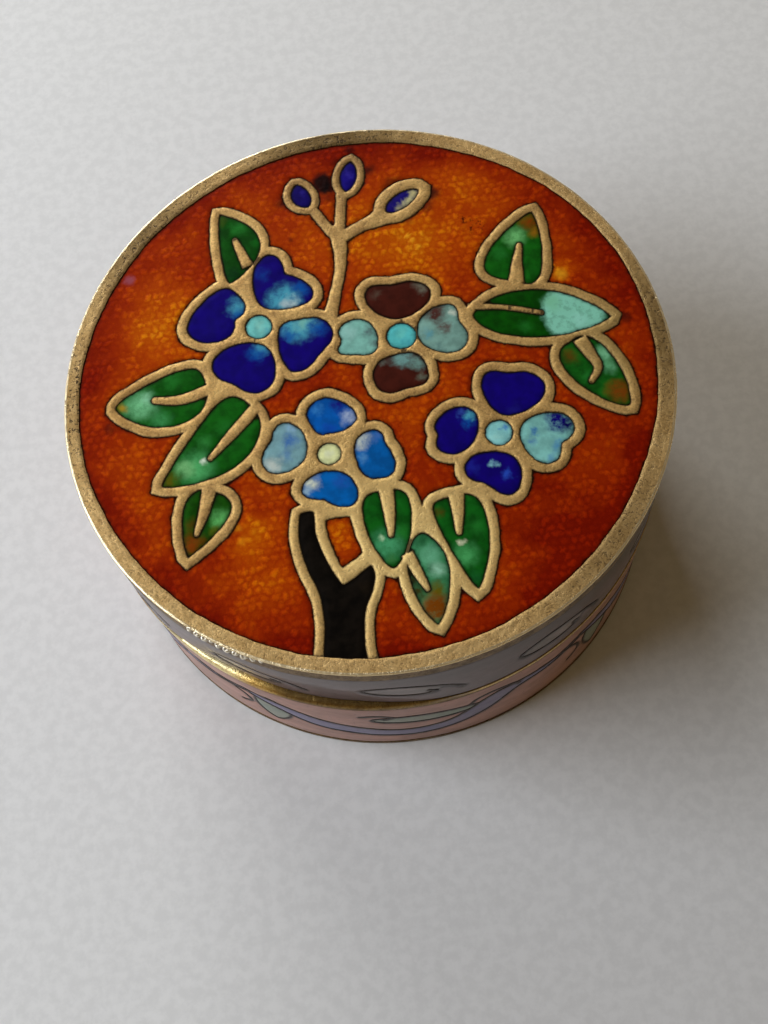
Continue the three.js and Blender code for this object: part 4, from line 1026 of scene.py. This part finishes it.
# lid, from the middle of the tray, up over the rim, down the side, in and back to the axis
row(0, Z_BED, INNER)
row(12.0, Z_BED, INNER)
row(lambda t: rim_inner(t) + 0.004, Z_BED, INNER)
row(lambda t: rim_inner(t) + 0.004, H - 0.10, RIM)
N_TOP = 12
for i in range(N_TOP + 1):
    f = i / N_TOP
    def r_top(t, f=f):
        a = rim_inner(t) + 0.01
        return a + (R - 0.13 - a) * f
    def z_top(t, f=f, i=i):
        r = r_top(t, f)
        return H - 0.004 - (0.045 * (1 - f * 7) if f < 0.14 else 0) + rim_pits(t, r, 31) * (1 if 0 < i < N_TOP else 0.4)
    row(r_top, z_top, RIM)
for a in np.radians([66, 42, 18]):
    row(lambda t, a=a: R - 0.13 + 0.125 * np.cos(a) + 0.010 * wave("lip", t, ((5, 1), (13, 1), (29, 1), (61, 0.8))) - 0.010,
        lambda t, a=a: H - 0.15 + 0.14 * np.sin(a) + rim_pits(t, R + 7 * a, 41) * 0.4, RIM)
for z in (0.3, 0.6, 0.9, 1.15, 1.34):
    row(lambda t, z=z: R - 0.010 - 0.015 * z + 0.006 * wave("band", t, ((7, 1), (19, 1), (43, 1))) - 0.006 + rim_pits(t, 20 + z * 3, 51) * 0.5, lambda t, z=z: H - z + 0.03 * wave("b2", t, ((5, 1), (11, 1), (23, 1))) * (z > 1.2), DULL)
row(19.05, lambda t: H - 1.36 + 0.03 * wave("b2", t, ((5, 1), (11, 1), (23, 1))), DULL)
row(19.05, lambda t: border(t) + 0.02, DULL)
row(lambda t: lid_wall(t, Z_BORDER) + 0.02, border, GOLD)
for f in (0.25, 0.5, 0.75, 0.92):                       # the ledge, rounded over
    row(lambda t, f=f: lid_wall(t, Z_BORDER) + 0.02 + (R - 0.05 - lid_wall(t, Z_BORDER) - 0.02) * f + rim_pits(t, 20 + 2 * f, 61) * 0.3,
        lambda t, f=f: border(t) - 0.20 * f ** 2.2 + rim_pits(t, 19 + f, 63) * 0.6, GOLD)
for a in np.radians([25, -10, -50, -80]):
    row(lambda t, a=a: R - 0.17 + 0.155 * np.cos(a), lambda t, a=a: Z_SEAM + 0.14 + 0.13 * np.sin(a), GOLD)
row(19.2, Z_SEAM + 0.005, INNER)
row(18.5, Z_SEAM + 0.01, INNER)
row(18.45, Z_SEAM + 0.12, INNER)
for z in np.linspace(Z_SEAM + 1.0, H - 2.3, 5):
    row(18.45, float(z), INNER)
for a in np.radians([20, 45, 70, 90]):
    row(18.45 - 0.5 * (1 - math.cos(a)), H - 1.75 - 0.5 + 0.5 * math.sin(a), INNER)
row(9.0, H - 1.75, INNER)
row(0, H - 1.75, INNER)
rows_r, tags_r = rows[::-1], tags[::-1]
turned("lid_brass_shell", rows_r, 720, [MATS["rim"], MATS["gold"], MATS["inner"], MATS["dull"]], ["lid_cup"],
       row_material=lambda i: tags_r[i])

# base, from the middle of the underside, out round the foot, up the side, over the collar and down inside
rows, tags = [], []
row(0, 0.9)
row(10.0, 0.9)
row(18.2, 0.9)
row(18.22, 0.12)
row(18.32, 0.015)
row(18.45, 0.0)
row(19.2, 0.0)
for a in np.radians([-80, -50, -25, 0]):
    row(lambda t, a=a: R_FOOT - 0.10 + 0.09 * np.cos(a), 0.10 + 0.10 * math.sin(a))
row(lambda t: R_FOOT - 0.01 + 0.01 * wave("foot", t, ((9, 1), (21, 1))), lambda t: 0.46 + 0.05 * wave("footline", t, ((4, 1), (9, 1), (21, 1))))
row(R_CORE, lambda t: 0.47 + 0.05 * wave("footline", t, ((4, 1), (9, 1), (21, 1))))
row(R_CORE, lambda t: Z_LIP - 0.34 + 0.03 * wave("lipline", t, ((4, 1), (9, 1), (21, 1))))
for f in (0.0, 0.5, 0.8):
    row(lambda t, f=f: R_BASE - 0.02 + 0.01 * wave("lip2", t, ((7, 1), (17, 1))), lambda t, f=f: Z_LIP - 0.33 + 0.25 * f + 0.03 * (1 - f) * wave("lipline", t, ((4, 1), (9, 1), (21, 1))))
row(R_BASE - 0.06, Z_LIP - 0.03)
row(R_BASE - 0.14, Z_LIP - 0.002)
row(18.3, Z_LIP - 0.002)
row(18.16, Z_LIP - 0.002)
row(18.15, Z_LIP + 0.1)
row(18.15, Z_COLLAR - 0.16)
row(18.10, Z_COLLAR - 0.05)
row(18.0, Z_COLLAR)
row(17.65, Z_COLLAR)
row(17.54, Z_COLLAR - 0.04)
row(17.5, Z_COLLAR - 0.14)
row(17.5, Z_LIP - 3.3)
row(17.52, Z_LIP - 3.4)
row(18.2, Z_LIP - 3.75)
row(18.2, 2.4)
for a in np.radians([20, 45, 70, 90]):
    row(18.2 - 0.6 * (1 - math.cos(a)), 1.75 + 0.6 - 0.6 * math.sin(a))
row(9.0, 1.75)
row(0, 1.75)
turned("base_brass_shell", rows, 480, [MATS["inner"], MATS["dull"]], ["base_cup"],
       row_material=lambda i: 1 if 3 <= i <= 17 else 0)

# plain enamel inside the foot ring
under_rows = [(0, 0.36), (6.0, lambda t: 0.36 + 0.01 * wave("u1", t)), (12.0, lambda t: 0.37 + 0.012 * wave("u2", t)), (16.5, lambda t: 0.38 + 0.012 * wave("u3", t)),
              (17.7, 0.42), (18.05, 0.52), (18.16, 0.66), (18.16, 0.88), (9.0, 0.88), (0, 0.88)]
turned("underside_enamel_fill", under_rows, 240, [MATS["under"]], ["base_underside_enamel"], smooth_angle=50)


# ---------------------------------------------------------------- 3. side bands: cloisonne round the wall
def side_panel(prefix, z_lo, z_hi, r_at, shapes, wires, base_mat, base_slot, node, pitch=0.26, glaze_in=0.03, r_core=R_CORE + 0.03):
    """A band of enamel round the box, cut by wires. shapes = [(outline in (s, z), material, slot)], and the slot is not
    used;
    s is the length round the wall at radius R. z_lo and z_hi may depend on s."""
    L = 2 * math.pi * R
    n = int(L / 0.2)
    s = np.linspace(0, L, n + 1)
    ang = s / R + math.radians(90)
    lo = np.array([z_lo(a) for a in [ang]])[0] if callable(z_lo) else np.full(n + 1, z_lo)
    hi = np.array([z_hi(a) for a in [ang]])[0] if callable(z_hi) else np.full(n + 1, z_hi)
    low = list(zip(s, lo))
    high = list(zip(s, hi))
    m = 24
    left = [(0.0, lo[0] + (hi[0] - lo[0]) * k / m) for k in range(1, m)]
    right = [(L, p[1]) for p in left]
    pts = low + right + high[::-1] + left[::-1]
    edges = [(i, (i + 1) % len(pts)) for i in range(len(pts))]
    loops = [P for P, *_ in shapes] + [w for *_, w in shapes if w is not None] + list(wires)
    P, T = mesh_plane(loops, pts, edges, pitch, (0.02, lo.min(), L - 0.02, hi.max()), keep_clear=0.06)
    Cc = P[T].mean(1)
    lab = np.zeros(len(T), int)
    fin = inside(np.array(pts), Cc[:, 0], Cc[:, 1])
    for i, (S, _, _, own) in enumerate(shapes):          # a shape's own wire, then its fill
        if own is not None:
            lab[inside(own, Cc[:, 0], Cc[:, 1])] = 999
        lab[inside(S, Cc[:, 0], Cc[:, 1])] = 1 + i
    for W in wires:
        lab[inside(W, Cc[:, 0], Cc[:, 1])] = 999
    a, b, c = P[T[:, 0]], P[T[:, 1]], P[T[:, 2]]
    ar = ((b[:, 0] - a[:, 0]) * (c[:, 1] - a[:, 1]) - (c[:, 0] - a[:, 0]) * (b[:, 1] - a[:, 1])) / 2
    T[ar < 0] = T[ar < 0][:, ::-1]
    ok = fin & (np.abs(ar) > 1e-7)
    T, lab = T[ok], lab[ok]
    # close the band: points at the two ends of the strip become one
    at_end = np.nonzero(np.abs(P[:, 0] - L) < 1e-4)[0]
    at_start = np.nonzero(np.abs(P[:, 0]) < 1e-4)[0]
    remap = np.arange(len(P))
    for e in at_end:
        k = at_start[np.argmin(np.abs(P[at_start, 1] - P[e, 1]))]
        remap[e] = k
    be_, bl_ = region_boundary(remap[T], lab)
    out = []
    for which in sorted(set(lab.tolist())):
        pick = lab == which
        Tr = remap[T[pick]]
        Bd = be_[bl_ == which]
        sg = np.stack([P[Bd[:, 0]], P[Bd[:, 1]]], 1)
        short = np.abs(sg[:, 0, 0] - sg[:, 1, 0]) < L / 2
        d = np.zeros(len(P))
        used = np.unique(Tr)
        d[used] = distance_to(P[used], sg[short], 0.05)
        if which == 999:
            h = lambda Q, dd: 0.004 - 0.02 * (1 - smooth(0, 0.1, dd))
            mat, slot_, nm = MATS["side_wire"], "wire_brass", prefix + "_wires"
        else:
            h = lambda Q, dd: -glaze_in * (1 - smooth(0.0, 0.25, dd)) - 0.012 + 0.006 * value_noise(Q[:, 0], Q[:, 1], 1.2, 77)
            if which == 0:
                mat, slot_, nm = base_mat, base_slot, prefix + "_ground"
            else:
                _, mat, slot_, _ = shapes[which - 1]
                nm = f"{prefix}_fill_{which}"

        def top(Q, u, h=h, d=d):
            an = Q[:, 0] / R + math.radians(90)
            r = r_at(an, Q[:, 1]) + h(Q, d[u])
            return np.stack([r * np.cos(an), r * np.sin(an), Q[:, 1]], -1)

        def bottom(Q, u):
            an = Q[:, 0] / R + math.radians(90)
            return np.stack([r_core * np.cos(an), r_core * np.sin(an), Q[:, 1]], -1)

        v, f, at = slab_mesh(P, Tr, Bd, top, bottom, {"edge": d})
        out.append((which, nm, v, f, at, mat, slot_))
    # fills of one colour become one piece, so that the object has few pieces
    groups = {}
    for which, nm, v, f, at, mat, slot_ in out:
        groups.setdefault(mat.name, []).append((nm, v, f, at, mat, slot_))
    for gname, items in groups.items():
        v = np.vstack([i[1] for i in items])
        off = np.cumsum([0] + [len(i[1]) for i in items])
        f = np.vstack([i[2] + o for i, o in zip(items, off)])
        e = np.concatenate([i[3]["edge"] for i in items])
        nm, mat, slot_ = items[0][0], items[0][4], items[0][5]
        new_object(nm if len(items) == 1 else f"{prefix}_{gname}", v, f, mat, [node], 38, {"edge": e})


def around(P, phi, z):
    """Places an outline drawn in mm about (0, 0) at an azimuth, with its middle z mm below the top."""
    s = ((phi - 90) % 360) / 360 * 2 * math.pi * R
    return np.stack([s + P[:, 0], H - z + P[:, 1]], -1)


W_SIDE = 0.24
lid_shapes, lid_wires = [], []
for k in range(12):
    phi = -91 + 30 * k
    if abs(((phi - 90 + 180) % 360) - 180) < 12:
        continue                                        # the strip's ends meet here
    rng = random.Random(100 + k)
    zc = 5.15 + rng.uniform(-0.12, 0.12) + 0.5 * float(smooth(0.1, 0.5, lean(np.array([math.radians(phi)])))[0])
    sc = rng.uniform(0.95, 1.04)
    loop = [(3.35, -0.95), (2.3, 0.15), (0.9, 0.85), (-0.8, 1.15), (-2.2, 0.9), (-3.2, 0.25), (-3.0, -0.5), (-1.8, -1.0), (-0.4, -1.15), (0.8, -1.1), (1.5, -0.75), (1.15, -0.35)]
    pts = [(x * sc, z * sc, W_SIDE * (1.7 if i in (0, 10, 11) else 1.0)) for i, (x, z) in enumerate(loop)]
    lid_wires.append(resample(around(ribbon(pts, 8, start=True), phi, zc), 0.12))
    fill = np.array(spline([(x * 0.97 * sc, z * 0.95 * sc, 0) for x, z in loop[1:10]], 6))[:, :2]
    lid_shapes.append((resample(around(fill, phi, zc), 0.14), MATS["cloud"], "side_lilac", None))
side_panel("lid_side", lambda a: border(a) + 0.02, lambda a: H - 1.37 + 0.03 * wave("b2", a, ((5, 1), (11, 1), (23, 1))), lid_wall, lid_shapes, lid_wires, MATS["lid_side"], "side_lilac", "lid_side_enamel", r_core=19.08)


def base_r(t, z):
    f = np.clip((z - 0.5) / (Z_LIP - 0.34 - 0.5), 0, 1)
    return (R_FOOT - 0.02) + (R_BASE - 0.03 - (R_FOOT - 0.02)) * f


base_shapes, base_wires = [], []
mm_per_deg = math.radians(1) * R
for k in range(5):
    phi = -92 + 72 * k
    if abs(((phi - 90 + 180) % 360) - 180) < 5:
        continue
    rng = random.Random(300 + k)
    dz = rng.uniform(-0.2, 0.2) if k else 0.0
    q = lambda P: [((p + 92) * mm_per_deg, -(z - 14.0) + dz, w) for p, z, w in P]
    patch = leaf(*[((p + 92) * mm_per_deg, -(z - 14.0) + dz) for p, z in ((-121.5, 11.4), (-121.0, 16.9))], 1.35, 1.15, 0.55, 0.75, 0.1)
    base_shapes.append((resample(around(patch, phi, 14.0), 0.13), MATS["base_patch"], "side_pink", resample(around(grow(resample(patch, 0.2), 0.14), phi, 14.0), 0.13)))
    reed = leaf(*[((p + 92) * mm_per_deg, -(z - 14.0) + dz) for p, z in ((-99.5, 12.1), (-77.5, 12.75))], 0.75, 0.65, 0.45, 0.6, 0.0)
    base_shapes.append((resample(around(reed, phi, 14.0), 0.13), MATS["base_patch"], "side_pink", resample(around(grow(resample(reed, 0.2), W_SIDE), phi, 14.0), 0.13)))
    dz = 0.0
    band = q([(-126, 11.5, 0.3), (-119, 12.6, 1.2), (-111, 14.3, 1.75), (-103, 15.2, 1.55), (-97, 15.75, 1.4), (-90, 15.85, 1.4), (-83, 15.25, 1.5), (-78, 14.0, 2.0), (-74, 12.6, 2.0), (-69, 12.1, 1.0), (-62, 12.2, 0.5), (-54, 11.5, 0.3)])
    rib = ribbon(band, 10)
    base_shapes.append((resample(around(rib, phi, 14.0), 0.13), MATS["base_ribbon"], "side_pink", resample(around(grow(resample(rib, 0.2), W_SIDE), phi, 14.0), 0.13)))
    for curl in ([(-102, 11.2, 0.3), (-98.5, 10.9, W_SIDE), (-95.5, 11.4, W_SIDE), (-97.3, 11.9, 0.3)],
                 [(-80, 11.9, W_SIDE), (-78.5, 11.1, W_SIDE), (-75, 10.75, W_SIDE), (-71, 11.2, W_SIDE), (-69.5, 12.0, 0.3)],
                 [(-137, 11.6, 0.3), (-131, 12.0, W_SIDE), (-127, 13.0, W_SIDE), (-126, 14.6, W_SIDE), (-128.5, 15.6, 0.3)]):
        C = resample(around(ribbon(q(curl), 8, start=True), phi, 14.0), 0.13)
        if C[:, 0].max() < -0.2:
            C = C + [2 * math.pi * R, 0]
        if C[:, 0].min() > 0.2 and C[:, 0].max() < 2 * math.pi * R - 0.2:
            base_wires.append(C)

side_panel("base_side", lambda a: 0.50 + 0.05 * wave("footline", a, ((4, 1), (9, 1), (21, 1))), lambda a: Z_LIP - 0.36 + 0.03 * wave("lipline", a, ((4, 1), (9, 1), (21, 1))), base_r, base_shapes, base_wires, MATS["base_side"], "side_pink", "base_side_enamel")


# ---------------------------------------------------------------- 4. small solder blisters on the rim's edge
def blisters():
    """A row of small burst bubbles along the rim's outer edge, each a ring round a crater."""
    rng = random.Random(8)
    verts, faces, heights = [], [], []
    spots = [(-131.2, 0.17), (-129.6, 0.21), (-128.0, 0.24), (-126.6, 0.16), (-125.2, 0.22), (-123.5, 0.25), (-121.8, 0.21), (-120.2, 0.25), (-118.5, 0.20), (-116.9, 0.13)]
    for deg, r in spots:
        r *= 1.18
        a = math.radians(deg)
        tilt = math.radians(rng.uniform(48, 64))
        out = Vector((math.cos(a) * math.cos(tilt), math.sin(a) * math.cos(tilt), math.sin(tilt)))
        rad0 = R - 0.10 + rng.uniform(-0.04, 0.02)
        c = Vector((math.cos(a) * rad0, math.sin(a) * rad0, H - 0.02 - r))
        side = out.cross(Vector((0, 0, 1))).normalized()
        up = side.cross(out).normalized()
        base = len(verts)
        rings, seg = 14, 24
        for i in range(rings + 1):
            p = math.pi * i / rings
            crater = 0.42 * math.exp(-(p / 0.50) ** 2)
            for j in range(seg):
                q = 2 * math.pi * j / seg
                rad = r * (1 - crater) * (1 + 0.05 * math.sin(3 * q + deg))
                verts.append((c + (out * math.cos(p) + (side * math.cos(q) + up * math.sin(q)) * math.sin(p)) * rad) * MM)
                heights.append(p)
        for i in range(rings):
            for j in range(seg):
                k = (j + 1) % seg
                if i == 0:
                    faces.append((base + j, base + seg + j, base + seg + k))
                elif i == rings - 1:
                    faces.append((base + i * seg + j, base + (i + 1) * seg + j, base + i * seg + k))
                else:
                    faces.append((base + i * seg + j, base + (i + 1) * seg + j, base + (i + 1) * seg + k, base + i * seg + k))
        for i in (0, rings):                              # one point at each pole
            for j in range(1, seg):
                verts[base + i * seg + j] = verts[base + i * seg]
    remap, clean, at = {}, [], []
    for i, v in enumerate(verts):
        key = (round(v.x * 1e8), round(v.y * 1e8), round(v.z * 1e8))
        if key not in remap:
            remap[key] = len(clean)
            clean.append(v)
            at.append(heights[i])
    key_of = [remap[(round(v.x * 1e8), round(v.y * 1e8), round(v.z * 1e8))] for v in verts]
    faces = [tuple(reversed([key_of[i] for i in f])) for f in faces]
    faces = [f for f in faces if len(set(f)) == len(f)]
    new_object("rim_solder_blisters", clean, faces, MATS["bead"], attrs={"edge": at})


blisters()

# ---------------------------------------------------------------- floor, light, camera
n = Net("pale_floor")
fibre = n.noise(0.9, 4.0, 0.6).outputs[0]
n.set(Base_Color=n.mix(n.span(fibre, 0.35, 0.65), rgb(214, 213, 210), rgb(222, 221, 218)), Roughness=0.9)
n.bsdf.inputs["Specular IOR Level"].default_value = 0.15
n.set(Normal=n.bump(fibre, 0.15, 0.08))
fm = bpy.data.meshes.new("floor")
fm.from_pydata([(-1.2, -1.2, 0), (1.2, -1.2, 0), (1.2, 1.2, 0), (-1.2, 1.2, 0)], [], [(0, 1, 2, 3)])
floor = bpy.data.objects.new("floor", fm)
floor.location.z = -0.00002
bpy.context.scene.collection.objects.link(floor)
fm.materials.append(n.m)

world = bpy.data.worlds.new("studio")
bpy.context.scene.world = world
world.use_nodes = True
wt = world.node_tree
bg = wt.nodes["Background"]
up = wt.nodes.new("ShaderNodeSeparateXYZ")
wt.links.new(wt.nodes.new("ShaderNodeTexCoord").outputs["Generated"], up.inputs[0])
grad = wt.nodes.new("ShaderNodeValToRGB")                # a warm room, dark overhead
wt.links.new(up.outputs[2], grad.inputs[0])
grad.color_ramp.elements.new(0.5)
for e, (p, c) in zip(grad.color_ramp.elements, ((0.25, (0.26, 0.185, 0.085, 1)), (0.55, (0.19, 0.138, 0.07, 1)), (0.8, (0.075, 0.058, 0.035, 1)))):
    e.position, e.color = p, c
wt.links.new(grad.outputs[0], bg.inputs[0])
bg.inputs[1].default_value = 1.0
seen = wt.nodes.new("ShaderNodeBackground")              # past the floor's edge: the same pale paper
seen.inputs[0].default_value = (0.42, 0.42, 0.41, 1)
path, both = wt.nodes.new("ShaderNodeLightPath"), wt.nodes.new("ShaderNodeMixShader")
wt.links.new(path.outputs["Is Camera Ray"], both.inputs[0])
wt.links.new(bg.outputs[0], both.inputs[1])
wt.links.new(seen.outputs[0], both.inputs[2])
wt.links.new(both.outputs[0], wt.nodes["World Output"].inputs[0])


def area(name, azimuth, elevation, distance, size, power, colour):
    d = bpy.data.lights.new(name, "AREA")
    d.shape, d.size, d.energy, d.color = "SQUARE", size, power, colour
    o = bpy.data.objects.new(name, d)
    bpy.context.scene.collection.objects.link(o)
    a, e = math.radians(azimuth), math.radians(elevation)
    o.location = (distance * math.cos(a) * math.cos(e), distance * math.sin(a) * math.cos(e), distance * math.sin(e))
    o.rotation_euler = (-o.location).to_track_quat("-Z", "Y").to_euler()
    return o


area("window_left", 178, 34, 0.35, 0.26, 1.28, (0.90, 0.97, 1.09))
area("window_back_left", 108, 15, 0.35, 0.18, 1.0, (0.98, 1.0, 1.0))

cam = bpy.data.cameras.new("camera")
camera = bpy.data.objects.new("camera", cam)
bpy.context.scene.collection.objects.link(camera)
el, roll, dist, tx, ty = 1.17516, -0.16223, 4.23865, -0.05692, 0.43770
cam.sensor_width, cam.sensor_fit, cam.lens = 36.0, "AUTO", 1300 / 1024 * 36
cam.clip_start, cam.clip_end = 0.005, 5.0
back_v = Vector((0, -math.cos(el), math.sin(el)))
right_v = Vector((1, 0, 0))
up_v = back_v.cross(right_v)
r2 = right_v * math.cos(roll) + up_v * math.sin(roll)
u2 = -right_v * math.sin(roll) + up_v * math.cos(roll)
pos = Vector((0, 0, H * MM)) + (r2 * -tx + u2 * -ty + back_v * dist) * (R * MM)
camera.matrix_world = Matrix(((r2.x, u2.x, back_v.x, pos.x), (r2.y, u2.y, back_v.y, pos.y), (r2.z, u2.z, back_v.z, pos.z), (0, 0, 0, 1)))
bpy.context.scene.camera = camera
bpy.context.scene.view_settings.view_transform = "Standard"
